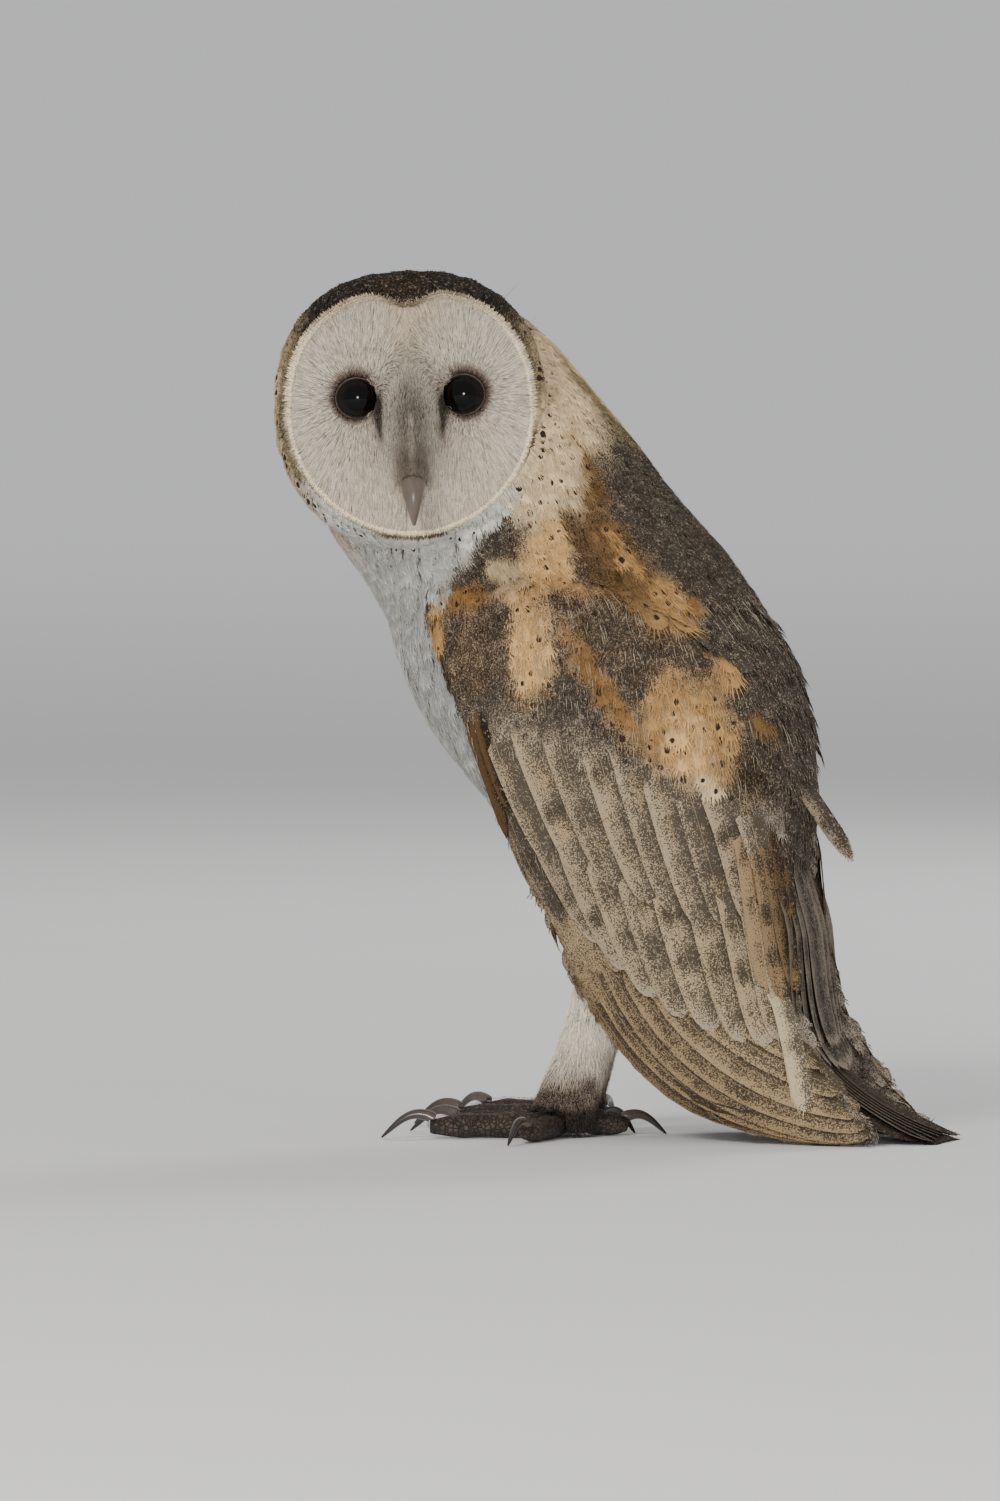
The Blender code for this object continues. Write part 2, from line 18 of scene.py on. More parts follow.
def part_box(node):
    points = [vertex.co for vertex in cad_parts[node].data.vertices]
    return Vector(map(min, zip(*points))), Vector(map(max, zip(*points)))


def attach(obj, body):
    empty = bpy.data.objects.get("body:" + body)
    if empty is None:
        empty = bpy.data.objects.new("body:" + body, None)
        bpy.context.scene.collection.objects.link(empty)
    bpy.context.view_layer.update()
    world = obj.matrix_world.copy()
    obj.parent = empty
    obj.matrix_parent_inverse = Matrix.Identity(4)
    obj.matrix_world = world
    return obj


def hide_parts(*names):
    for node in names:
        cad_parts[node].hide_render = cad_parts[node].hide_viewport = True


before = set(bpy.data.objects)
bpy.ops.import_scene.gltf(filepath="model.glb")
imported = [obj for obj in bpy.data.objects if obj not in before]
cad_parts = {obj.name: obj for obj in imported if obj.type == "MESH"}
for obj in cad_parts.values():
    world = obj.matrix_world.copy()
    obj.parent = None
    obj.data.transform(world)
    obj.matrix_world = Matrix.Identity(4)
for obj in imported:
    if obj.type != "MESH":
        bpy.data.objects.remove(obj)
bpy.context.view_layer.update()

MM = 0.001
RNG = np.random.default_rng(2409)
SIDE_NAMES = {1: "left", -1: "right"}

# ---------------------------------------------------------------- frames of the body and the head
BODY_TURN = math.radians(20.0)
TURN_COS, TURN_SIN = math.cos(BODY_TURN), math.sin(BODY_TURN)
FORWARD = np.array([-TURN_COS, TURN_SIN, 0.0])
LEFT = np.array([-TURN_SIN, -TURN_COS, 0.0])
DEPTH = np.array([0.0, 1.0, 0.0])
UP = np.array([0.0, 0.0, 1.0])
BODY_AXES = np.array([FORWARD, LEFT, UP])
HEAD_IN_BIRD = np.array([-63.4, 0.0, 255.8]) * MM    # the head's centre, from the bird's own origin
EYE_DEPTH = -24.5 * MM                               # the eyes' place in the head
EYE_RISE = 5.9 * MM
DISC_HALF_WIDTH = 44.0 * MM
DISC_HALF_HEIGHT = 43.5 * MM
UPPER_POWER, LOWER_POWER = 2.35, 1.95                # the outline is a superellipse, fuller above
RUFF_NOTCH = 5.2 * MM                                # dip of the outline at the middle of its top
NOTCH_HALF_WIDTH = 8.5 * MM


def unit(rows):
    return rows / np.maximum(np.linalg.norm(rows, axis=-1, keepdims=True), 1e-12)


def linked(name, data):
    """A new object in the scene."""
    obj = bpy.data.objects.new(name, data)
    bpy.context.scene.collection.objects.link(obj)
    return obj


def middle(node):
    low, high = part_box(node)
    return np.array((low + high) / 2)


EYES = {-1: middle("eye_right"), 1: middle("eye_left")}
EYE_RADIUS = (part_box("eye_left")[1].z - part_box("eye_left")[0].z) / 2
ACROSS = unit(EYES[1] - EYES[-1])
RISE = np.cross(ACROSS, DEPTH)
HEAD = (EYES[1] + EYES[-1]) / 2 - DEPTH * EYE_DEPTH - RISE * EYE_RISE
HEAD_AXES = np.array([ACROSS, DEPTH, RISE])
ORIGIN = HEAD - HEAD_IN_BIRD
EYE_SPREAD = np.linalg.norm(EYES[1] - EYES[-1]) / 2


def to_head(points):
    """Across, depth and rise from the head's centre."""
    return (points - HEAD) @ HEAD_AXES.T


def from_head(across, depth, rise):
    return HEAD + np.stack(np.broadcast_arrays(across, depth, rise), axis=-1) @ HEAD_AXES


def to_body(points):
    """Forward, left and height from the bird's origin."""
    return (points - ORIGIN) @ BODY_AXES.T


def side_view(points):
    """Places seen square on from the owl's side, 20 degrees ahead of its flank: rearward and up."""
    forward, left, height = to_body(points).T
    return -forward * TURN_COS - np.abs(left) * TURN_SIN, height


def smooth(low, high, value):
    """0 up to low, 1 from high on, and an even S between; low may be the greater."""
    t = np.clip((np.asarray(value, float) - low) / (high - low), 0.0, 1.0)
    return t * t * (3 - 2 * t)


def bell(offset, width, power=2.0):
    """1 at no offset, falling away to either side over about the width."""
    return np.exp(-np.abs(offset / width) ** power)


def value_noise(points, size, seed):
    """Smooth noise from 0 to 1 at each point, in blobs about size across."""
    grid = points / size + 64.0
    cell = np.floor(grid).astype(np.int64)
    part = grid - cell
    part = part * part * (3 - 2 * part)
    total = np.zeros(len(points))
    for corner in np.ndindex(2, 2, 2):
        mixed = ((cell + corner) * (73856093, 19349663, 83492791)).sum(axis=1) + seed * 7919
        mixed = (mixed ^ (mixed >> 13)) * 1274126177
        value = ((mixed ^ (mixed >> 16)) & 0xFFFF) / 0xFFFF
        total += value * np.prod(np.where(corner, part, 1 - part), axis=1)
    return total


# ---------------------------------------------------------------- tones
STUDIO_GAIN = 0.87              # light tones need more reflectance under the studio's light than dark
STUDIO_CHROMA = 0.26            # and the display mutes light colours by about this power


def tone(red, green, blue):
    """Reflectance that shows as a display tone of 0 to 255 under the studio's light."""
    value = np.array((red, green, blue)) / 255
    value = np.where(value <= 0.04045, value / 12.92, ((value + 0.055) / 1.055) ** 2.4)
    light = value.mean()
    chroma = STUDIO_CHROMA * smooth(0.02, 0.35, light)
    return np.clip(value * (1 + STUDIO_GAIN * light) * (value / light) ** chroma, 0, 0.95)


# Grounds of the plumage, on which the dark speckle lies.
TONES = {
    "disc": tone(168, 162, 150), "disc_low": tone(168, 159, 146), "disc_shade": tone(146, 133, 121),
    "eye_ring": tone(112, 93, 84), "forehead": tone(160, 147, 129), "ridge": tone(76, 69, 60),
    "ridge_foot": tone(72, 60, 50), "tear": tone(30, 24, 21), "rim": tone(206, 197, 176),
    # crown: partly the crown's own darker tone, partly painted shade
    "rim_edge": tone(76, 54, 34), "crown": tone(58, 50, 42), "crown_gold": tone(72, 58, 42),
    "cheek": tone(118, 105, 80), "cream": tone(176, 160, 133), "white": tone(162, 161, 155),
    # the underparts' lower tone: white plumage greyed, partly as painted shade
    "breast": tone(143, 143, 139), "gold": tone(150, 120, 80), "deep_gold": tone(118, 88, 54),
    "pale_gold": tone(170, 143, 103), "orange": tone(122, 92, 56), "scapular": tone(105, 81, 52),
    "dark": tone(124, 105, 84), "mantle": tone(120, 107, 91), "grey": tone(145, 132, 114),
    "buff": tone(152, 136, 110), "umber": tone(98, 78, 56), "spot": tone(44, 34, 28),
    # tail: darker than the tail's own tone, partly painted shade
    "primary": tone(136, 117, 91), "pale_tip": tone(146, 137, 121), "tail": tone(66, 54, 44),
    "tail_pale": tone(132, 122, 109), "leg": tone(192, 184, 171), "leg_low": tone(120, 106, 94),
    "toe": tone(62, 53, 46), "alula": tone(86, 65, 41),
}


def mix(first, second, share):
    share = np.asarray(share)[..., None]
    return first * (1 - share) + second * share


def painted(tint, **shares):
    """The tint with named tones laid over it in turn, each by its share."""
    for name, share in shares.items():
        tint = mix(tint, TONES[name], share)
    return tint


# ---------------------------------------------------------------- markings
# Soft patches of the body's plumage, painted in this order: ground tone, rearward and height of the
# middle, half size along and across (mm), lean of the long axis from level (degrees), share of speckle.
PATCHES = (
    ("mantle", 60, 190, 120, 90, 0, 0.76),
    ("cream", -11, 264, 26, 11, -60, 0.06),
    ("cheek", 1, 266, 29, 5, -53, 0.42),
    ("scapular", 10, 201, 35, 11, -51, 0.36),
    ("gold", -10, 246, 16, 6, -60, 0.16),
    ("scapular", -3, 231, 13, 8, -66, 0.42),
    ("cream", -20, 241, 34, 14, -82, 0.04),
    ("gold", 27, 189, 12, 7, -55, 0.16),
    ("gold", 12, 206, 12, 2.4, -55, 0.25),
    ("dark", -29, 208, 5.5, 3.4, 60, 0.72),
    ("buff", -29, 198, 10, 6, -40, 0.12),
    ("dark", -41.5, 173, 17, 10, 84, 0.62),
    ("deep_gold", -44, 191, 10, 5, 10, 0.25),
    ("gold", -55, 178, 16, 3.0, 84, 0.12),
    ("umber", -4, 211, 14, 3.5, -62, 0.5),
    ("pale_gold", -15, 205, 14, 8.5, -85, 0.0),
    ("gold", -13, 190, 14, 8, 0, 0.14),
    ("pale_gold", -22, 172, 17, 8.5, 86, 0.14),
    ("dark", 9, 175, 28, 11, -32, 0.70),
    ("dark", 25, 166, 17, 12, 0, 0.74),
    ("orange", 4, 159, 25, 4.6, -56, 0.22),
    ("gold", 34, 145, 21, 16, -60, 0.08),
    ("pale_gold", 34, 140, 14, 8, -70, 0.0),
    ("cream", 40, 121, 8, 5, 90, 0.0),
    ("deep_gold", 36, 186, 7, 3.4, -70, 0.15),
    ("gold", 47, 164, 6.5, 4.2, -70, 0.15),
    ("scapular", 59, 147, 6, 4, -60, 0.3),
    ("umber", 58, 118, 20, 7, -80, 0.7),
)
WHOLE_PATCH = 0.62              # a patch is whole inside this share of its size, fading as far beyond it


def paint_body(points, parts):
    """Ground tint and share of dark speckle of the neck, trunk and upper wings."""
    along, height = side_view(points)
    ragged = value_noise(points, 8 * MM, 1) * 0.5 + value_noise(points, 3 * MM, 2) * 0.3 - 0.4
    tint = np.tile(TONES["mantle"], (len(points), 1))
    speckle = np.full(len(points), 0.78)
    for name, x, z, half_long, half_wide, lean, strength in PATCHES:
        lean = math.radians(lean)
        dx, dz = along / MM - x, height / MM - z
        long = (dx * math.cos(lean) + dz * math.sin(lean)) / half_long
        wide = (-dx * math.sin(lean) + dz * math.cos(lean)) / half_wide
        share = 1 - smooth(WHOLE_PATCH, 2 - WHOLE_PATCH, np.hypot(long, wide) + ragged * 0.8)
        tint = mix(tint, TONES[name], share)
        speckle = speckle * (1 - share) + strength * share
    coverts = (parts == WING) * smooth(8 * MM, -8 * MM, height - covert_line(along) - ragged * 6 * MM)
    tint = painted(tint, grey=coverts)
    speckle = speckle * (1 - coverts) + 0.5 * coverts
    # The underparts: white ahead of a line from the shoulder under the face to the vent, greyer lower
    # down, which is partly painted shade.
    edge = np.interp(height / MM, (60, 120, 160, 185, 200, 211, 226, 262),
                     (60, 20, -34, -54, -50, -38, -62, -75)) * MM
    white = smooth(4 * MM, -3 * MM, along - edge + ragged * 8 * MM) * (parts != WING)
    tint = mix(tint, mix(TONES["white"], TONES["breast"], smooth(215 * MM, 180 * MM, height)), white)
    return tint, speckle * (1 - white)


def covert_line(along):
    """Height on the wing where small contour feathers give way to the large coverts."""
    return np.interp(along / MM, (-60, -30, -8, 20, 42, 70), (150, 152, 146, 132, 118, 112)) * MM


def paint_head(points):
    """Ground and speckle behind the facial disc: dark crown and nape, cream and gold sides; the crown's
    dark tone is partly painted shade.
    """
    across, depth, rise = (to_head(points) / MM).T
    ragged = value_noise(points, 5 * MM, 3) - 0.5
    angle = np.degrees(np.arctan2(rise, np.abs(across)))      # 90 at the crown, 0 at the cheeks
    low = smooth(-26, -52, angle + ragged * 20)
    tint = mix(TONES["cream"], TONES["gold"], smooth(4, 30, depth + ragged * 12) * 0.9)
    # the dark band behind the disc's edge is the ruff's own; on the owl's right side only it runs on down
    # the cheek as painted shade
    band = smooth(-14, -30, depth + ragged * 8) * np.where(across > 0, smooth(-8, 12, angle), 1.0)
    tint = painted(tint, cheek=band * (1 - 0.8 * low), white=low * smooth(14, -6, depth))
    # the crown's dark tone is partly painted shade; it turns greyer towards the back
    crown = smooth(20, 48, angle + ragged * 24 + depth * 0.12)
    rear = smooth(-22, 18, depth + ragged * 14)
    tint = mix(tint, mix(TONES["crown"], TONES["grey"], rear * 0.42), crown)
    nape = smooth(30, 40, depth + ragged * 10)
    tint = painted(tint, mantle=nape * 0.6)
    speckle = 0.05 + 0.40 * band * (1 - low) + 0.12 * smooth(4, 30, depth)
    return tint, np.clip(speckle * (1 - crown) + crown * (0.66 - 0.1 * rear) + nape * 0.2, 0, 0.8)


def disc_reach(across, rise):
    """How far out a place is on the facial disc, 1 on its outline; across and rise in mm."""
    dip = RUFF_NOTCH * bell(across * MM, NOTCH_HALF_WIDTH) / MM
    upper = rise > 0
    high = np.where(upper, rise + dip * np.clip(rise / 30, 0, 1), rise)
    power = np.where(upper, UPPER_POWER, LOWER_POWER)
    a, r = np.abs(across) * MM / DISC_HALF_WIDTH, np.abs(high) * MM / DISC_HALF_HEIGHT
    return (a ** power + r ** power) ** (1 / power)


def paint_face(points):
    """Tint of the facial disc: pale, warmer round the eyes, with a brown nose ridge and tear marks;
    painted shade darkens the creases down the ridge's sides and the hollows below the eyes.
    """
    across, _, rise = (to_head(points) / MM).T
    side = np.abs(across)
    spread, eye_rise = EYE_SPREAD / MM, EYE_RISE / MM
    from_eye = np.hypot(side - spread, rise - eye_rise)
    cloud = value_noise(points, 11 * MM, 6) - 0.5
    tint = mix(TONES["disc"], TONES["disc_low"], np.clip(smooth(4, -22, rise) * 0.7 + cloud * 0.9, 0, 1))
    width = np.interp(rise, (-24, -14, 2, 16, 28, 34), (7.0, 9.0, 9.8, 7.2, 3.8, 2.2))
    ridge = bell(across, width, 2.4) * smooth(36, 8, rise) * smooth(-29, -22, rise)
    foot = bell(across, 6, 4) * smooth(-8, -18, rise) * smooth(-27, -23, rise)
    # dark strokes down the ridge's sides: tear marks, deepened as painted shade of the creases; the corner
    # marks are the tear marks' own
    streak = bell(side - np.interp(rise, (-12, 2), (10.6, 11.8)), 1.6, 1.6)
    tear = streak * smooth(-15, -3, rise) * smooth(10, 4, rise)
    corner = bell(side - 12.2, 1.9) * bell(rise - 2.2, 3.4)
    tint = painted(
        tint,
        forehead=bell(across, 14) * smooth(8, 32, rise) * 0.8,
        eye_ring=bell(from_eye - 6.5, 3.4) * 0.6,
        # painted shade of the hollows beside the ridge below the eyes
        disc_shade=bell(side - 14, 7) * bell(rise + 12, 13) * 0.6,
        ridge=ridge * np.interp(rise, (2, 14, 30), (0.9, 0.65, 0.4)),
        disc_low=bell(across, 1.3) * smooth(4, -4, rise) * 0.3,
        ridge_foot=foot * 0.6,
        tear=np.clip(tear + corner, 0, 0.92),
    )
    outside = smooth(0.975, 1.0, disc_reach(across, rise) + cloud * 0.02)
    behind, speckle = paint_head(points)
    behind = painted(behind, crown_gold=smooth(15, 7, side) * smooth(20, 30, rise) * 0.8)
    return mix(tint, behind, outside), speckle * outside


def paint_leg(points):
    """White plumes above, mottled brown bristles below."""
    height = points[:, 2] / MM
    low = smooth(34, 14, height + 10 * (value_noise(points, 5 * MM, 4) - 0.5))
    # at the top the plumes take the breast's greyer tone, partly painted shade
    tint = painted(TONES["leg"], leg_low=low, breast=smooth(48, 64, height) * 0.8,
                   toe=smooth(13, 9, height))
    return tint, low * 0.5


def paint_tail(points):
    """Dark quills, their dark tone partly painted shade, paler towards the sides."""
    _, left, height = (to_body(points) / MM).T
    tint = painted(TONES["tail"], tail_pale=smooth(10, 17, np.abs(left)) * smooth(0, 30, height))
    return tint, np.full(len(points), 0.6)


HEAD_PART, FACE, NECK, TRUNK, WING, TAIL, LEG, FOOT = range(8)
PART_OF_NODE = {"head": HEAD_PART, "facial_disc": FACE, "neck": NECK, "trunk": TRUNK, "tail": TAIL}
for side_name in SIDE_NAMES.values():
    for part_name in ("coverts", "secondaries", "primaries"):
        PART_OF_NODE["wing_%s_%s" % (side_name, part_name)] = WING
    PART_OF_NODE["leg_%s_thigh" % side_name] = LEG
    PART_OF_NODE["leg_%s_tarsus" % side_name] = LEG
    for number in range(1, 5):
        PART_OF_NODE["toe_%s_%d" % (side_name, number)] = FOOT
BODY_NODES = [n for n, part in PART_OF_NODE.items() if part not in (LEG, FOOT)]
FOOT_NODES = [n for n in PART_OF_NODE if n not in BODY_NODES]


def paint(points, parts):
    """Tint and speckle of any point of the skin or the coat, by the part of the body it is on."""
    tint, speckle = paint_body(points, parts)
    near_head = smooth(58 * MM, 49 * MM, np.linalg.norm(points - HEAD, axis=1)) * (parts == NECK)
    near_head = np.maximum(near_head, np.isin(parts, (HEAD_PART, FACE)))
    head_tint, head_speckle = paint_head(points)
    tint = mix(tint, head_tint, near_head)
    speckle = speckle * (1 - near_head) + head_speckle * near_head
    for part, painter in ((FACE, paint_face), (LEG, paint_leg), (FOOT, paint_leg), (TAIL, paint_tail)):
        chosen = parts == part
        if chosen.any():
            tint[chosen], speckle[chosen] = painter(points[chosen])
    low_wing = (parts == WING) * smooth(128 * MM, 112 * MM, points[:, 2])
    wing_tint = mix(TONES["buff"], TONES["primary"], smooth(80 * MM, 40 * MM, points[:, 2]))
    tint = mix(tint, wing_tint, low_wing)
    tint = painted(tint, tail_pale=low_wing * smooth(36 * MM, 31 * MM, np.abs(to_body(points)[:, 1])))
    return tint, speckle * (1 - low_wing) + 0.5 * low_wing


# ---------------------------------------------------------------- the form the coat lies on
SWELL = 0.4 * MM                # closes the clearances between the solids
WELD = 0.005 * MM
BODY_VOXEL = 1.5 * MM
FOOT_VOXEL = 0.8 * MM
FORM_SMOOTHING = 3
SPECK_ROUNDS = 16               # rounds of blurring or relaxing, here and below
SEAM_ROUNDS = 8
NECK_ROUNDS = 4
CREASE_ROUNDS = 110
THROAT_ROUNDS = 160
NORMAL_ROUNDS = 2
FLOW_ROUNDS = 14
CORNER_EASE = 0.05 * MM         # keeps a corner's weight finite where a place is right on it


def joined_form(name, nodes, voxel):
    """One closed mesh round the named solids."""
    bm = bmesh.new()
    for node in nodes:
        bm.from_mesh(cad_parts[node].data)
    bmesh.ops.remove_doubles(bm, verts=bm.verts, dist=WELD)
    bm.normal_update()
    for vert in bm.verts:
        vert.co += vert.normal * SWELL
    mesh = bpy.data.meshes.new(name)
    bm.to_mesh(mesh)
    bm.free()
    obj = linked(name, mesh)
    remesh = obj.modifiers.new("remesh", "REMESH")
    remesh.mode = "VOXEL"
    remesh.voxel_size = voxel
    smoother = obj.modifiers.new("smooth", "SMOOTH")
    smoother.iterations = FORM_SMOOTHING
    graph = bpy.context.evaluated_depsgraph_get()
    made = bpy.data.meshes.new_from_object(obj.evaluated_get(graph))
    bpy.data.objects.remove(obj)
    return made


class Form:
    """A closed surface that answers where its nearest point is, with its normal, flow and part."""

    def __init__(self, mesh):
        mesh.calc_loop_triangles()
        self.points = np.zeros((len(mesh.vertices), 3), np.float32)
        mesh.vertices.foreach_get("co", self.points.ravel())
        self.faces = np.zeros((len(mesh.loop_triangles), 3), np.int32)
        mesh.loop_triangles.foreach_get("vertices", self.faces.ravel())
        self.points = self.points.astype(float)
        self.edges = np.unique(np.sort(np.vstack([self.faces[:, [0, 1]], self.faces[:, [1, 2]],
                                                  self.faces[:, [2, 0]]]), axis=1), axis=0)
        self.parts = nearest_parts(self.points)
        # a wing may be so thin that the trunk behind it is nearer
        specks = (self.parts == TRUNK) & (self.blurred(self.parts == WING, SPECK_ROUNDS) > 0.5)
        self.parts[specks] = WING
        self.fill_creases()
        self.round_throat()
        self.tree = BVHTree.FromPolygons(self.points.tolist(), self.faces.tolist())
        corners = self.points[self.faces]
        cross = np.cross(corners[:, 1] - corners[:, 0], corners[:, 2] - corners[:, 0])
        self.areas = np.linalg.norm(cross, axis=1) / 2
        normals = np.zeros_like(self.points)
        for corner in range(3):
            for axis in range(3):
                normals[:, axis] += np.bincount(self.faces[:, corner], cross[:, axis], len(self.points))
        self.normals = unit(self.blurred(unit(normals), NORMAL_ROUNDS))
        flow = self.blurred(lie_of_coat(self.points, self.parts), FLOW_ROUNDS)
        flow -= self.normals * (flow * self.normals).sum(axis=1, keepdims=True)
        self.flow = unit(flow)

    def fill_creases(self):
        """Softens the crease between the folded wings and the back."""
        wing = self.blurred(self.parts == WING, SEAM_ROUNDS)
        along, height = side_view(self.points)
        seam = smooth(0.04, 0.3, wing) * smooth(0.96, 0.7, wing)
        seam *= smooth(100 * MM, 120 * MM, height) * smooth(-30 * MM, -15 * MM, along)
        self.relax(seam, CREASE_ROUNDS)

    def round_throat(self):
        """Rounds the ledge at the front of the neck, under the turned head."""
        along, height = side_view(self.points)
        ledge = smooth(-64 * MM, -82 * MM, along) * smooth(186 * MM, 200 * MM, height)
        ledge *= smooth(250 * MM, 236 * MM, height) * self.blurred(self.parts == NECK, NECK_ROUNDS)
        self.relax(ledge, THROAT_ROUNDS)

    def relax(self, share, rounds):
        """Moves each point towards the middle of its neighbours, by its share, again and again."""
        for _ in range(rounds):
            self.points += (self.blurred(self.points, 1) - self.points) * share[:, None]

    def part_tree(self, part, side):
        """A tree of the faces of one part, on one side of the body only."""
        chosen = (self.parts == part) & (to_body(self.points)[:, 1] * side > 0)
        faces = self.faces[chosen[self.faces].all(axis=1)]
        return BVHTree.FromPolygons(self.points.tolist(), faces.tolist())

    def blurred(self, values, rounds):
        """Averages of each point's value with its neighbours', again and again."""
        one, two = self.edges.T
        count = len(self.points)
        degree = np.bincount(one, minlength=count) + np.bincount(two, minlength=count)
        values = np.array(values, float)
        flat = values.reshape(count, -1)
        for _ in range(rounds):
            for axis in range(flat.shape[1]):
                total = np.bincount(one, flat[two, axis], count)
                total += np.bincount(two, flat[one, axis], count)
                flat[:, axis] = 0.5 * flat[:, axis] + 0.5 * total / np.maximum(degree, 1)
        return flat.reshape(values.shape)

    def at(self, points):
        """Nearest point of the surface, its normal, its flow and its part, for each point."""
        found = [self.tree.find_nearest(Vector(p)) for p in points]
        places = np.array([hit[0] for hit in found])
        faces = self.faces[[hit[2] for hit in found]]
        corners = self.points[faces]
        near = 1.0 / (np.linalg.norm(corners - places[:, None], axis=2) + CORNER_EASE)
        near /= near.sum(axis=1, keepdims=True)
        normals = unit((self.normals[faces] * near[..., None]).sum(axis=1))
        flow = (self.flow[faces] * near[..., None]).sum(axis=1)
        flow = unit(flow - normals * (flow * normals).sum(axis=1, keepdims=True))
        return places, normals, flow, self.parts[faces[:, 0]]

    def strewn(self, count, chosen=None):
        """Points strewn evenly by area over the faces whose first corner is chosen."""
        areas = self.areas if chosen is None else self.areas * chosen[self.faces[:, 0]]
        faces = RNG.choice(len(self.faces), count, p=areas / areas.sum())
        a, b = RNG.random((2, count, 1))
        flip = a + b > 1
        a, b = np.where(flip, 1 - a, a), np.where(flip, 1 - b, b)
        corners = self.points[self.faces[faces]]
        return corners[:, 0] + a * (corners[:, 1] - corners[:, 0]) + b * (corners[:, 2] - corners[:, 0])


def node_rows(node):
    """The points and the faces of a CAD node, as lists."""
    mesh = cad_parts[node].data
    return [v.co[:] for v in mesh.vertices], [list(p.vertices) for p in mesh.polygons]


def solids_tree():
    """A search tree of all the flesh solids' faces, and the part that each face belongs to."""
    points, faces, parts = [], [], []
    for solid, part in PART_OF_NODE.items():
        own_points, own_faces = node_rows(solid)
        faces.extend([len(points) + v for v in face] for face in own_faces)
        points.extend(own_points)
        parts.extend([part] * len(own_faces))
    return BVHTree.FromPolygons(points, faces), np.array(parts)


SOLIDS, SOLID_PARTS = solids_tree()


def nearest_parts(points):
    return SOLID_PARTS[[SOLIDS.find_nearest(Vector(p))[2] for p in points]]


def rearward(forward_share, down_share):
    """A direction in the body's upright plane, from its shares rearward and down."""
    return -np.outer(forward_share, FORWARD) - np.outer(down_share, UP)


ANKLES = {side: middle("leg_%s_tarsus" % name) * (1, 1, 0) for side, name in SIDE_NAMES.items()}


def lie_of_coat(points, parts):
    """Which way the coat lies at each point."""
    height = points[:, 2] / MM
    back = np.interp(height, (60, 90, 130, 160, 205, 235, 260), (0.3, 0.12, 0.2, 0.5, 0.5, 0.3, 0.1))
    flow = rearward(back, np.sqrt(1 - back ** 2))
    wing = np.interp(height, (0, 12, 30, 50, 75, 100, 150, 185),
                     (0.98, 0.88, 0.75, 0.6, 0.42, 0.14, 0.1, 0.25))
    tail = np.interp(height, (5, 25, 50, 80), (0.98, 0.85, 0.6, 0.35))
    for part, share in ((WING, wing), (TAIL, tail)):
        flow[parts == part] = rearward(share, np.sqrt(1 - share ** 2))[parts == part]
    head = to_head(points)
    away = unit(head - np.array((0.0, -60.0, 12.0)) * MM) + np.array((0.0, 0.25, -0.45))
    flow[parts == HEAD_PART] = (unit(away) @ HEAD_AXES)[parts == HEAD_PART]
    flow[parts == FACE] = lie_of_face(points[parts == FACE])
    flow[parts == LEG] = (0.0, 0.0, -1.0)
    for side, ankle in ANKLES.items():
        foot = (parts == FOOT) & (to_body(points)[:, 1] * side > 0)
        flow[foot] = unit((points[foot] - ankle) * (1, 1, 0.2))
    return flow


def lie_of_face(points):
    """Filaments spread from each eye; those of the nose ridge run down to the bill."""
    across, _, rise = to_head(points).T
    side = np.where(across > 0, 1.0, -1.0)
    from_eye = np.stack([across - side * EYE_SPREAD, 0 * rise, rise - EYE_RISE], axis=1)
    ridge = bell(across, 9 * MM) * smooth(36 * MM, 6 * MM, rise)
    down = np.stack([across * 0.6, 0 * rise, np.full_like(rise, -8 * MM)], axis=1)
    return unit(unit(from_eye) * (1 - ridge[:, None]) + unit(down) * ridge[:, None]) @ HEAD_AXES


# ---------------------------------------------------------------- gathering closed feathers into one mesh
FAR_SPOT = 9.0                  # a feather without a spot has it this many radii away
SOLE = 1.5 * MM                 # plumage lower than this is pressed together above the floor
PATCH_WIDTH, PATCH_HEIGHT = 0.0012, 0.0028      # a tuft's patch on the OFBake map
MAP_EDGE = 0.001                # no patch comes nearer to the map's edge
MAP_MARGIN = 0.02               # nor does a tuft's root
VANE_MARGIN = 0.015             # nor the cells of the flight feathers


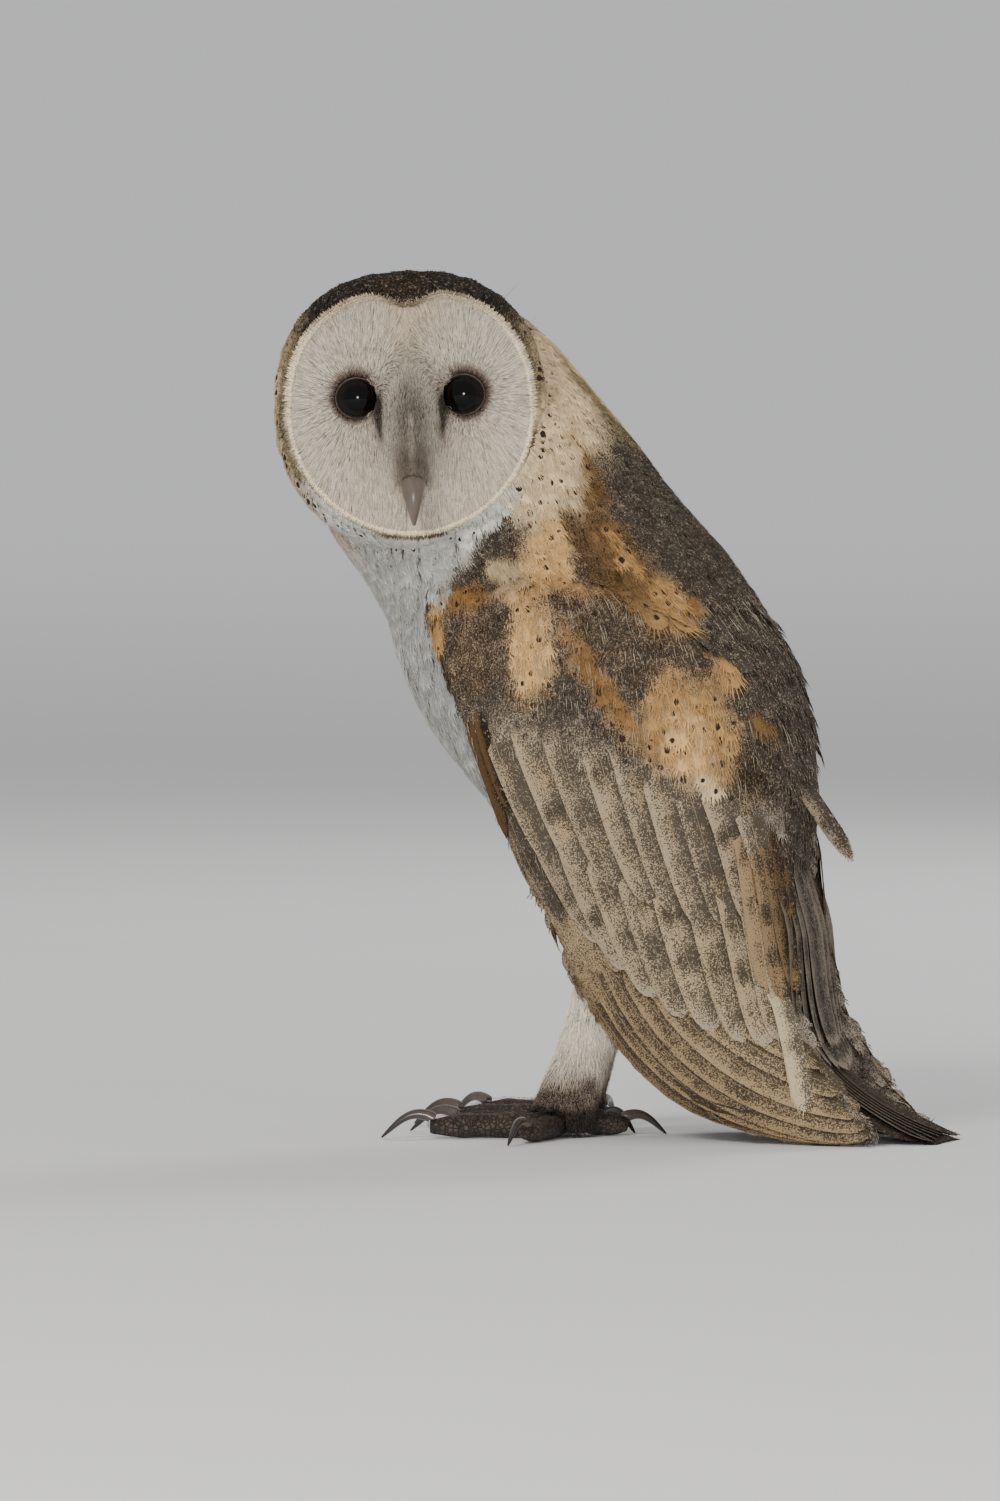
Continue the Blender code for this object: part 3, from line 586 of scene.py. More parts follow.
class Coat:
    """Closed feathers gathered as arrays, then made one object."""

    def __init__(self):
        self.points, self.faces, self.values, self.rims, self.flats, self.places = [], [], [], [], [], []
        self.count = 0

    def add(self, points, faces, tint, speckle, spot, vane, place, rim, flat):
        """points (n,v,3) with faces (f,3) shared by all n feathers; the rest are per vertex."""
        number, size = points.shape[:2]
        self.points.append(points.reshape(-1, 3))
        offsets = self.count + np.arange(number)[:, None, None] * size
        self.faces.append((faces[None] + offsets).reshape(-1, 3))
        values = np.concatenate([np.broadcast_to(v, (number, size, v.shape[-1]))
                                 for v in (tint, speckle, spot, vane)], axis=2)
        self.values.append(values.reshape(-1, values.shape[-1]))
        self.places.append(np.broadcast_to(place, (number, size, 2)).reshape(-1, 2))
        self.rims.append(np.tile(rim, number))
        self.flats.append(np.full(number * len(faces), flat))
        self.count += number * size

    def build(self, name, material):
        points, faces = np.vstack(self.points), np.vstack(self.faces)
        height = np.minimum(points[:, 2], SOLE)
        points[:, 2] += SOLE * np.exp(height / SOLE - 1) - height
        mesh = bpy.data.meshes.new(name)
        mesh.from_pydata(points, [], faces)
        values = np.vstack(self.values)
        write_values(mesh, values[:, :3], values[:, 3], values[:, 4:7], values[:, 7:10])
        flats = np.concatenate(self.flats)
        mesh.polygons.foreach_set("use_smooth", ~flats)
        edges = np.zeros(len(mesh.edges) * 2, np.int32)
        mesh.edges.foreach_get("vertices", edges)
        on_rim = np.concatenate(self.rims)[edges.reshape(-1, 2)].all(axis=1)
        sharp = mesh.attributes.new("sharp_edge", "BOOLEAN", "EDGE")
        sharp.data.foreach_set("value", on_rim)
        places = np.clip(np.vstack(self.places), MAP_EDGE, 1 - MAP_EDGE)
        bake = mesh.uv_layers.new(name="OFBake")
        corner = np.zeros(len(mesh.loops), np.int32)
        mesh.loops.foreach_get("vertex_index", corner)
        bake.data.foreach_set("uv", places[corner].astype(np.float32).ravel())
        mesh.materials.append(material)
        obj = linked(name, mesh)
        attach(obj, "root")


def write_values(mesh, tint, speckle, spot, vane):
    """Stores what the plumage material reads at each point."""
    colour = mesh.attributes.new("tint", "FLOAT_COLOR", "POINT")
    opaque = np.c_[np.clip(tint, 0, 1), np.ones(len(tint))]
    colour.data.foreach_set("color", opaque.astype(np.float32).ravel())
    strength = mesh.attributes.new("speckle", "FLOAT", "POINT")
    strength.data.foreach_set("value", speckle.astype(np.float32))
    for name, rows in (("spot", spot), ("vane", vane)):
        vector = mesh.attributes.new(name, "FLOAT_VECTOR", "POINT")
        vector.data.foreach_set("vector", rows.astype(np.float32).ravel())


def unwrapped(points, centre, axis_up, axis_ahead, low, high):
    """The skin rolled out round an axis: the turn and the place along it, both within the margin."""
    offset = points - centre
    side = np.cross(axis_up, axis_ahead)
    turn = np.arctan2(offset @ side, offset @ axis_ahead) / (2 * math.pi) + 0.5
    along = (offset @ axis_up - low) / (high - low)
    return MAP_MARGIN + (1 - 2 * MAP_MARGIN) * np.clip(np.stack([turn, along], axis=-1), 0, 1)


def map_cell(order, columns, rows):
    """A flight feather's cell on its map: its column and row, and how many of each there are."""
    return order % columns, order // columns, columns, rows


def leaf_faces(rows, across):
    """Faces of a closed feather: a root point, rows of points, a tip point and a line of points below."""
    def top(row, column):
        return 1 + row * across + column
    tip = 1 + rows * across
    faces = []
    for column in range(across - 1):
        faces.append((0, top(0, column + 1), top(0, column)))
        faces.append((top(rows - 1, column), top(rows - 1, column + 1), tip))
        for row in range(rows - 1):
            a, b = top(row, column), top(row, column + 1)
            c, d = top(row + 1, column + 1), top(row + 1, column)
            faces += [(a, b, c), (a, c, d)]
    for row in range(-1, rows):
        left, right = top(row, 0), top(row, across - 1)
        below = tip + 1 + row
        if row == -1:
            faces += [(0, top(0, 0), below + 1), (0, below + 1, top(0, across - 1))]
        elif row == rows - 1:
            faces += [(left, tip, below), (right, below, tip)]
        else:
            next_left, next_right = top(row + 1, 0), top(row + 1, across - 1)
            faces += [(left, next_left, below + 1), (left, below + 1, below)]
            faces += [(right, below + 1, next_right), (right, below, below + 1)]
    return np.array(faces)


def leaf_rim(rows, across):
    """Which points of such a feather lie on its outline."""
    rim = np.zeros(2 + rows * across + rows, bool)
    rim[0] = rim[1 + rows * across] = True
    rim[1:1 + rows * across:across] = True
    rim[across:1 + rows * across:across] = True
    return rim


def leaf_points(line, side, up, half_left, half_right, thick, camber, across):
    """Points of closed feathers (n,v,3) on middle lines (n,k,3); their places across and along (mm)."""
    inner = line[:, 1:-1]
    a = np.linspace(-1, 1, across)
    reach = np.where(a < 0, half_left[:, 1:-1, None], half_right[:, 1:-1, None]) * a
    drop = thick * 0.5 * (1 - a ** 2) - camber * reach ** 2
    top = inner[:, :, None] + side[:, 1:-1, None] * reach[..., None] + up[:, 1:-1, None] * drop[..., None]
    number, rows = inner.shape[:2]
    below = inner - up[:, 1:-1] * thick * 0.5
    points = np.concatenate([line[:, :1], top.reshape(number, -1, 3), line[:, -1:], below], axis=1)
    steps = np.linalg.norm(np.diff(line, axis=1), axis=2)
    along = np.concatenate([np.zeros((number, 1)), np.cumsum(steps, axis=1)], axis=1)
    along_rows = np.repeat(along[:, 1:-1, None], across, axis=2).reshape(number, -1)
    across_all = np.pad(reach.reshape(number, -1), ((0, 0), (1, 1 + rows)))
    along_all = np.concatenate([along[:, :1], along_rows, along[:, -1:], along[:, 1:-1]], axis=1)
    return points, across_all / MM, along_all / MM


BLADE_FACES = np.array([(0, 2, 3), (0, 3, 1), (3, 2, 4), (1, 3, 4), (0, 1, 2), (4, 2, 1)])
BLADE_RIM = np.array([True, True, True, False, True])
BLADE_PATCH = np.array([(0, 0), (-0.5, 0.5), (0.5, 0.5), (0, 0.5), (0, 1)]) * (PATCH_WIDTH, PATCH_HEIGHT)


def add_blades(coat, root, mid, tip, side, up, half_width, tint, speckle, place, spot=None):
    """Thin bent barbs of five points: root, left, right, crest and tip."""
    half = np.broadcast_to(half_width, len(root))[:, None]
    crest = mid + up * half * 0.8
    points = np.stack([root, mid - side * half, mid + side * half, crest, tip], axis=1)
    spots = np.full(points.shape, FAR_SPOT) if spot is None else spot
    patch = place[:, None] + BLADE_PATCH
    if tint.ndim == 2:
        tint = tint[:, None]
    speckle = np.broadcast_to(speckle, len(root))[:, None, None]
    coat.add(points, BLADE_FACES, tint, speckle, spots, np.zeros((1, 1, 3)), patch, BLADE_RIM, True)


def thinned(points, spacing):
    """Indices of points that keep their spacing to each other."""
    tree = KDTree(len(points))
    for index, point in enumerate(points):
        tree.insert(point, index)
    tree.balance()
    alive = np.ones(len(points), bool)
    kept = []
    for index in range(len(points)):
        if alive[index]:
            kept.append(index)
            for _, other, _ in tree.find_range(points[index], spacing):
                alive[other] = False
    return np.array(kept)


# ---------------------------------------------------------------- contour feathers
LEAF_PLACES = np.array([0.0, 0.22, 0.5, 0.78, 0.93, 1.0])       # stations along a contour feather
LEAF_WIDTHS = np.array([0.0, 0.62, 0.95, 1.0, 0.68, 0.0])
LEAF_ACROSS = 5
LEAF_FACES = leaf_faces(len(LEAF_PLACES) - 2, LEAF_ACROSS)
LEAF_RIM = leaf_rim(len(LEAF_PLACES) - 2, LEAF_ACROSS)
FRINGE = np.linspace(-1, 1, 8)                                  # barbs round a feather's tip
FRINGE_REACH = 0.22             # their length past the tip, as a share of the feather's
FRINGE_SPAN = 0.72              # the share of the half width that their roots take in
LEAF_THICKNESS = 0.16 * MM
LEAF_CAMBER = 45.0              # fall of the vane from the shaft, per metre, times the reach squared
LEAF_SHADE = 0.10               # how feathers differ in brightness, and how much paler their tips are
OWN_SHARE = 0.7                 # how far a feather has one colour, not that of the place under each point
EDGE_COSINE = 0.15              # a step whose normal turns further than this has gone round an edge
SHORT_STEP = 0.35


def stepped(form, start, step, normal, flow):
    """The form's nearest place a step on; where that is round an edge, a short straight step instead."""
    place, new_normal, new_flow, _ = form.at(start + step)
    lost = (new_normal * normal).sum(axis=1) < EDGE_COSINE
    place[lost] = (start + SHORT_STEP * step)[lost]
    new_normal[lost], new_flow[lost] = normal[lost], flow[lost]
    return place, new_normal, new_flow


def walked(form, start, length, places, scatter=0.0):
    """Lines that follow the flow of the coat from start, with their normals."""
    point, normal, flow, _ = form.at(start)
    turn = RNG.normal(0, scatter, len(start))[:, None]
    line, normals = [point], [normal]
    heading = unit(flow + np.cross(normal, flow) * turn)
    for step in np.diff(places):
        point, normal, flow = stepped(form, point, heading * (length * step)[:, None], normal, flow)
        heading = unit(flow * 0.5 + unit(heading) * 0.5 + np.cross(normal, flow) * turn * 0.5)
        line.append(point)
        normals.append(normal)
    return np.stack(line, axis=1), np.stack(normals, axis=1)


def lay_leaves(coat, form, roots, length, half, sink, lift, unwrap, spots, scatter):
    """Contour feathers from their roots along the flow, each with a soft fringe of barbs."""
    number = len(roots)
    line, normals = walked(form, roots, length, LEAF_PLACES, scatter)
    rise = np.interp(LEAF_PLACES, (0, 0.35, 0.75, 1), (-1, -0.15, 0.6, 1.0))
    height = np.where(rise < 0, rise * sink, rise * lift[:, None])
    height += RNG.normal(0, 0.12 * MM, (number, 1)) * np.clip(rise, 0, 1)
    line = line + normals * height[..., None]
    along = unit(np.gradient(line, axis=1))
    side = unit(np.cross(along, normals))
    halves = half[:, None] * LEAF_WIDTHS
    points, across_mm, along_mm = leaf_points(line, side, normals, halves, halves, LEAF_THICKNESS,
                                              LEAF_CAMBER, LEAF_ACROSS)
    size = points.shape[1]
    parts = form.at(roots)[3]
    centre = line[:, 3]
    own, own_speckle = paint(centre, parts)
    spread, spread_speckle = paint(points.reshape(-1, 3), np.repeat(parts, size))
    tint = mix(spread.reshape(number, size, 3), own[:, None], OWN_SHARE)
    speckle = mix(spread_speckle.reshape(number, size, 1), own_speckle[:, None, None], OWN_SHARE)[..., 0]
    outward = along_mm / along_mm.max(1, keepdims=True)
    tint = tint * (1 + RNG.normal(0, LEAF_SHADE, (number, 1, 1)) + LEAF_SHADE * outward[..., None])
    where = length[:, None] / MM * RNG.uniform(0.78, 0.88, (number, 1))

    def from_spot(across, along):
        radius = np.maximum(spots, 0.1)[:, None]
        place = np.stack([across / radius, (along - where) / (radius * 1.25), 0 * along], axis=-1)
        place[spots == 0] = FAR_SPOT
        return place
    place = unwrap(line[:, 0])
    local = np.stack([across_mm / np.abs(across_mm).max() * PATCH_WIDTH / 2,
                      along_mm / along_mm.max() * PATCH_HEIGHT], axis=-1)
    vane = np.stack([across_mm, along_mm, 0 * along_mm], axis=-1)
    coat.add(points, LEAF_FACES, tint, speckle[..., None], from_spot(across_mm, along_mm), vane,
             place[:, None] + local, LEAF_RIM, False)
    for reach in FRINGE:
        lean = reach + RNG.normal(0, 0.08, number)
        base = line[:, 3] + side[:, 3] * (lean * half * FRINGE_SPAN)[:, None]
        base += normals[:, 3] * (0.02 * MM)
        over = 0.30 * np.sqrt(np.maximum(1 - 0.8 * lean ** 2, 0.1))
        over += FRINGE_REACH * RNG.uniform(0.3, 1.0, number)
        splay = np.arctan(lean * 0.55)
        heading = along[:, 4] * np.cos(splay)[:, None] + side[:, 4] * np.sin(splay)[:, None]
        drop = normals[:, 4] * (0.25 * MM * np.abs(lean))[:, None]
        tip = base + heading * (length * over)[:, None] - drop
        mid = base * 0.45 + tip * 0.55 + normals[:, 3] * (0.10 * MM)
        width = np.clip(half * 0.13, 0.16 * MM, 0.34 * MM) * RNG.uniform(0.7, 1.2, number)
        colour = tint[:, 1 + 3 * LEAF_ACROSS + 2] * RNG.uniform(0.86, 1.16, (number, 1))
        part_way = (length * over / MM)[:, None] * (0, 0.55, 0.55, 0.55, 1)
        spot = from_spot((lean * half * FRINGE_SPAN / MM)[:, None] + part_way * np.sin(splay)[:, None],
                         along_mm[:, 1 + 2 * LEAF_ACROSS, None] + part_way * np.cos(splay)[:, None])
        add_blades(coat, base - normals[:, 3] * (0.12 * MM), mid, tip, side[:, 3], normals[:, 3], width,
                   colour, speckle[:, 1 + 3 * LEAF_ACROSS + 2], place, spot)


def lay_barbs(coat, form, roots, length, width, sink, lift, unwrap, scatter, shade, tint=None):
    """Loose barbs from their roots along the flow; tint is a function, or None for the coat's own."""
    number = len(roots)
    start, normal, flow, parts = form.at(roots)
    heading = unit(flow + np.cross(normal, flow) * RNG.normal(0, scatter, number)[:, None])
    mid, mid_normal, mid_flow = stepped(form, start, heading * (length * 0.5)[:, None], normal, flow)
    onward = unit(heading * 0.6 + mid_flow * 0.4)
    tip, tip_normal, _ = stepped(form, mid, onward * (length * 0.5)[:, None], mid_normal, mid_flow)
    rise = lift * RNG.uniform(0.6, 1.3, number)
    root = start - normal * sink
    mid = mid + mid_normal * (rise * 0.6)[:, None]
    tip = tip + tip_normal * rise[:, None]
    side = unit(np.cross(heading, mid_normal))
    colour, speckle = paint(mid, parts) if tint is None else tint(mid)
    colour = colour * (1 + RNG.normal(0, shade, (number, 1)))
    width = width * RNG.uniform(0.75, 1.2, number)
    add_blades(coat, root, mid, tip, side, mid_normal, width, colour, speckle, unwrap(root))


# ---------------------------------------------------------------- the skin
# How deep the skin lies under the solids' faces, mm.
COAT_DEPTH = {HEAD_PART: 2.6, FACE: 1.0, NECK: 3.6, TRUNK: 4.0,
              WING: 1.6, TAIL: 0.9, LEG: 2.4, FOOT: 0.55}
THICK = 20 * MM                 # flesh thicker than this lets the skin lie as deep as the coat asks
THIN_SHARE, THIN_LIMIT = 0.3, 0.36      # how deep it may lie in thinner flesh, before and after blurring
SKIN_ROUNDS = 6
INSIDE = 0.2 * MM               # how far in the search for the far side starts


def make_skin(body, foot, materials):
    """One skin over all the flesh, inside the solids by the depth of the coat."""
    points, faces, tint, speckle, slots = [], [], [], [], []
    for form in (body, foot):
        depth = np.vectorize(COAT_DEPTH.get)(form.parts).astype(float) * MM
        wall = np.full(len(form.points), THICK)
        for index, (point, normal) in enumerate(zip(form.points, form.normals)):
            hit = form.tree.ray_cast(Vector(point - normal * INSIDE), Vector(-normal), THICK)
            if hit[0] is not None:
                wall[index] = hit[3]
        depth = form.blurred(np.minimum(depth, wall * THIN_SHARE), SKIN_ROUNDS)
        depth = np.minimum(depth, wall * THIN_LIMIT)
        placed = form.points - form.normals * depth[:, None]
        start = sum(len(p) for p in points)
        points.append(placed)
        faces.append(form.faces + start)
        colour, strength = paint(form.points, form.parts)
        tint.append(colour)
        speckle.append(strength)
        slots.append((form.parts[form.faces[:, 0]] == FOOT).astype(np.int32))
    mesh = bpy.data.meshes.new("owl_skin")
    mesh.from_pydata(np.vstack(points), [], np.vstack(faces))
    far = np.full((len(mesh.vertices), 3), FAR_SPOT)
    write_values(mesh, np.vstack(tint), np.concatenate(speckle), far, 0 * far)
    mesh.materials.append(materials["plumage"])
    mesh.materials.append(materials["toe"])
    mesh.polygons.foreach_set("material_index", np.concatenate(slots))
    mesh.shade_smooth()
    skin = linked("owl_skin", mesh)
    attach(skin, "root")
    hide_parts(*PART_OF_NODE)


# ---------------------------------------------------------------- materials
def link(tree, *ends):
    for source, target in zip(ends[::2], ends[1::2]):
        tree.links.new(source, target)


def new_material(name, roughness, specular):
    """A material, its tree and shader, and the place on the object."""
    material = bpy.data.materials.new(name)
    material.use_nodes = True
    tree = material.node_tree
    shader = tree.nodes["Principled BSDF"]
    shader.inputs["Roughness"].default_value = roughness
    shader.inputs["Specular IOR Level"].default_value = specular
    return material, tree, shader, node(tree, "TexCoord").outputs["Object"]


def node(tree, kind, **settings):
    made = tree.nodes.new("ShaderNode" + kind)
    for key, value in settings.items():
        if key in made.inputs:
            made.inputs[key].default_value = value
        else:
            setattr(made, key, value)
    return made


def math_node(tree, operation, first, second=None):
    made = node(tree, "Math", operation=operation)
    for place, value in enumerate((first, second)):
        if isinstance(value, (int, float)):
            made.inputs[place].default_value = value
        elif value is not None:
            tree.links.new(value, made.inputs[place])
    return made.outputs[0]


def mapped(tree, value, low, high, to_low=0.0, to_high=1.0):
    made = node(tree, "MapRange", interpolation_type="SMOOTHSTEP")
    for socket, number in zip(made.inputs[1:5], (low, high, to_low, to_high)):
        socket.default_value = number
    tree.links.new(value, made.inputs[0])
    return made.outputs[0]


def mixed(tree, share, first, second, blend="MIX"):
    made = node(tree, "Mix", data_type="RGBA", blend_type=blend)
    for socket, value in zip((made.inputs[0], made.inputs[6], made.inputs[7]), (share, first, second)):
        if isinstance(value, (int, float)):
            socket.default_value = value
        elif isinstance(value, (tuple, np.ndarray)):
            socket.default_value = (*value[:3], 1.0)
        else:
            tree.links.new(value, socket)
    return made.outputs[2]


def attribute(tree, name, output="Fac"):
    return node(tree, "Attribute", attribute_name=name).outputs[output]


def noise_node(tree, place, scale, detail=2.0, roughness=0.55):
    made = node(tree, "TexNoise", Scale=scale, Detail=detail, Roughness=roughness)
    tree.links.new(place, made.inputs["Vector"])
    return made.outputs["Fac"]


def finished(tree, shader, colour, height=None, strength=0.0, distance=0.0):
    """Gives a shader its colour and the bump of a height, of a strength and a distance in mm."""
    tree.links.new(colour, shader.inputs["Base Color"])
    if height is not None:
        bump = node(tree, "Bump", Strength=strength, Distance=distance * MM)
        link(tree, height, bump.inputs["Height"], bump.outputs["Normal"], shader.inputs["Normal"])


def plumage_material():
    """Tint with pale and dark vermiculation, barbs and a dark spot, as the feather's own values say."""
    material, tree, shader, place = new_material("owl_plumage", 0.78, 0.18)
    tint = attribute(tree, "tint", "Color")
    speckle = attribute(tree, "speckle")
    grain = noise_node(tree, place, 1900.0, 2.5, 0.6)
    drift = mapped(tree, noise_node(tree, place, 160.0), 0.3, 0.7, -0.035, 0.035)
    level = math_node(tree, "ADD", mapped(tree, speckle, 0.0, 1.0, 0.30, 0.66), drift)
    fleck = mapped(tree, math_node(tree, "SUBTRACT", level, grain), -0.03, 0.03)
    colour = mixed(tree, fleck, tint, mixed(tree, 1.0, tint, (0.20, 0.21, 0.235), "MULTIPLY"))
    pale = mapped(tree, noise_node(tree, place, 850.0, 1.0), 0.60, 0.68)
    pale = math_node(tree, "MULTIPLY", pale, mapped(tree, speckle, 0.45, 0.8, 0.0, 0.45))
    colour = mixed(tree, pale, colour, tuple(TONES["pale_tip"]))
    fine = mapped(tree, noise_node(tree, place, 2600.0, 1.0), 0.25, 0.75, 0.9, 1.1)
    colour = mixed(tree, 1.0, colour, fine, "MULTIPLY")
    # barbs slant from the shaft on either side
    vane = node(tree, "SeparateXYZ")
    tree.links.new(attribute(tree, "vane", "Vector"), vane.inputs[0])
    slant = math_node(tree, "SUBTRACT", vane.outputs[1],
                      math_node(tree, "MULTIPLY", math_node(tree, "ABSOLUTE", vane.outputs[0]), 1.1))
    barb = math_node(tree, "SINE", math_node(tree, "MULTIPLY", slant, 11.0))
    colour = mixed(tree, 1.0, colour, mapped(tree, barb, -1.0, 1.0, 0.93, 1.05), "MULTIPLY")
    reach = node(tree, "VectorMath", operation="LENGTH")
    tree.links.new(attribute(tree, "spot", "Vector"), reach.inputs[0])
    ragged = math_node(tree, "ADD", reach.outputs["Value"],
                       mapped(tree, noise_node(tree, place, 900.0), 0.2, 0.8, -0.25, 0.25))
    spotted = mapped(tree, ragged, 1.15, 0.75)
    colour = mixed(tree, spotted, colour, tuple(TONES["spot"]))
    height = math_node(tree, "ADD", math_node(tree, "MULTIPLY", barb, 0.3), grain)
    finished(tree, shader, colour, height, 0.35, 0.12)
    return material


def toe_material():
    """Brown-pink toe skin in small scales, darker in the creases."""
    material, tree, shader, place = new_material("owl_toe_skin", 0.55, 0.35)
    cells = node(tree, "TexVoronoi", Scale=620.0, feature="DISTANCE_TO_EDGE")
    tree.links.new(place, cells.inputs["Vector"])
    crease = mapped(tree, cells.outputs["Distance"], 0.0, 0.16)
    blotch = noise_node(tree, place, 240.0, 3.0)
    base = mixed(tree, mapped(tree, blotch, 0.35, 0.65), tuple(tone(54, 46, 39)), tuple(tone(78, 66, 57)))
    colour = mixed(tree, crease, tuple(tone(38, 30, 26)), base)
    height = math_node(tree, "ADD", crease, math_node(tree, "MULTIPLY", blotch, 0.5))
    finished(tree, shader, colour, height, 0.8, 0.35)
    return material


def horn_material(name, low, high, roughness):
    """Horn, streaked along its length, between two tones."""
    material, tree, shader, place = new_material(name, roughness, 0.5)
    stretch = node(tree, "Mapping", Scale=(1.0, 1.0, 0.25))
    tree.links.new(place, stretch.inputs["Vector"])
    streak = noise_node(tree, stretch.outputs["Vector"], 420.0, 4.0, 0.6)
    vein = mapped(tree, streak, 0.3, 0.7)
    shade = attribute(tree, "tone")
    colour = mixed(tree, shade, mixed(tree, vein, tuple(low), tuple(low * 1.35)),
                   mixed(tree, vein, tuple(high), tuple(high * 1.25)))
    shader.inputs["Coat Weight"].default_value = 0.35
    shader.inputs["Coat Roughness"].default_value = 0.2
    finished(tree, shader, colour, streak, 0.25, 0.08)
    return material


def eye_material():
    """Near-black pupil in a very dark brown iris with faint rays, under a wet cornea."""
    material, tree, shader, place = new_material("owl_eye", 0.04, 0.5)
    shader.inputs["IOR"].default_value = 1.27
    reach = attribute(tree, "tone")
    rays = mapped(tree, noise_node(tree, place, 900.0, 3.0), 0.3, 0.7, 0.6, 1.3)
    iris = mixed(tree, 1.0, tuple(tone(16, 11, 9)), rays, "MULTIPLY")
    colour = mixed(tree, mapped(tree, reach, 0.55, 0.68), tuple(tone(5, 4, 4)), iris)
    finished(tree, shader, mixed(tree, mapped(tree, reach, 0.90, 1.0), colour, tuple(tone(14, 10, 9))))
    return material


def lid_material():
    """Dark bare skin, which passes into the disc's feathers at its outer edge."""
    material, tree, shader, place = new_material("owl_lid", 0.6, 0.3)
    grain = noise_node(tree, place, 1500.0, 3.0)
    colour = mixed(tree, grain, tuple(tone(10, 8, 7)), tuple(tone(30, 22, 20)))
    colour = mixed(tree, attribute(tree, "tone"), colour, tuple(TONES["disc_shade"] * 0.7))
    finished(tree, shader, colour, grain, 0.5, 0.1)
    return material


def floor_material():
    """Pale floor that passes into the surroundings' own tone far from the owl."""
    material, tree, shader, place = new_material("studio_floor", 0.9, 0.1)
    grain = noise_node(tree, place, 6.0, 4.0)
    finished(tree, shader, mixed(tree, grain, (0.66, 0.655, 0.645), (0.69, 0.685, 0.675)))
    distance = node(tree, "VectorMath", operation="LENGTH")
    tree.links.new(place, distance.inputs[0])
    away = math_node(tree, "LOGARITHM", distance.outputs["Value"], 10.0)
    haze = node(tree, "Emission", Color=(*WORLD_TONE, 1.0), Strength=WORLD_STRENGTH)
    blend = node(tree, "MixShader")
    output = next(n for n in tree.nodes if n.bl_idname == "ShaderNodeOutputMaterial")
    tree.links.new(mapped(tree, away, 0.3, 1.25), blend.inputs[0])
    link(tree, shader.outputs[0], blend.inputs[1])
    link(tree, haze.outputs[0], blend.inputs[2], blend.outputs[0], output.inputs["Surface"])
    return material


# ---------------------------------------------------------------- flight feathers
SIGHT_START = 300 * MM          # how far off a line of sight starts


def side_hit(tree, rearward_at, height, yaw, side):
    """Where a level line of sight onto the owl's side meets a surface; at yaw 0 it is side_view's."""
    sight = np.array([-math.sin(yaw), math.cos(yaw), 0.0])
    square = np.array([math.cos(yaw), math.sin(yaw), 0.0])
    start = (square * rearward_at - sight * SIGHT_START + UP * height) @ BODY_AXES.T
    sight = sight @ BODY_AXES.T
    start[1] *= side
    sight[1] *= side
    place, normal, _, _ = tree.ray_cast(Vector(start @ BODY_AXES + ORIGIN), Vector(sight @ BODY_AXES))
    return (None, None) if place is None else (np.array(place), np.array(normal))


VANE_STATIONS = 16
VANE_PLACES = 1 - (1 - np.linspace(0, 1, VANE_STATIONS)) ** 1.45       # closer together towards the tip
VANE_ACROSS = 9
VANE_FACES = leaf_faces(VANE_STATIONS - 2, VANE_ACROSS)
VANE_RIM = leaf_rim(VANE_STATIONS - 2, VANE_ACROSS)
VANE_THICKNESS = 0.22 * MM
VANE_CAMBER = 7.0
SHAFT_SIDES = 3
SHAFT_RADII = (0.34, 0.12)      # at the root and the tip, mm
SHAFT_SHADE = 0.72              # its tone, as a share of the vane's
ROLL = 0.11                     # each flight feather's leading edge stands proud of the one ahead
OUTER_BARBS = 46                # loose barbs on either side of its outer part
OUTER_PART = (0.55, 0.995)      # from where to where along it they grow
BARB_HALF_WIDTH = 0.2 * MM
DRAW_IN = 16                    # how far a place beyond the outline is drawn in to it, mm
WING_COLUMNS = 8                # columns of a wing's map


def evened(rows, rounds=4):
    """Rows of points drawn towards the middle of their neighbours; the ends stay."""
    for _ in range(rounds):
        rows[1:-1] = (rows[:-2] + 2 * rows[1:-1] + rows[2:]) / 4
    return rows


def vane_path(tree, root, tip, bow, yaw, side):
    """Points on the form under a flight feather, from (rearward, height) in mm at its root to its tip."""
    root, tip = np.array(root, float), np.array(tip, float)
    across = np.array([-(tip - root)[1], (tip - root)[0]])
    places, normals = [], []
    for t in VANE_PLACES:
        at = root + (tip - root) * t + across * bow * math.sin(math.pi * t)
        turn = math.radians(yaw[0] + (yaw[1] - yaw[0]) * t)
        inward = 1.0 if at[0] < 20 else -1.0
        for drawn_in in range(DRAW_IN):
            rear = (at[0] + inward * drawn_in) * MM
            place, normal = side_hit(tree, rear, max(at[1], 0.6) * MM, turn, side)
            if place is not None:
                break
        if place is None:
            place, normal = 2 * places[-1] - places[-2], normals[-1]
        places.append(place)
        normals.append(normal)
    normals = np.array(normals)
    for _ in range(4):
        normals[1:-1] = unit(normals[:-2] + 2 * normals[1:-1] + normals[2:])
    return evened(np.array(places)), unit(normals)


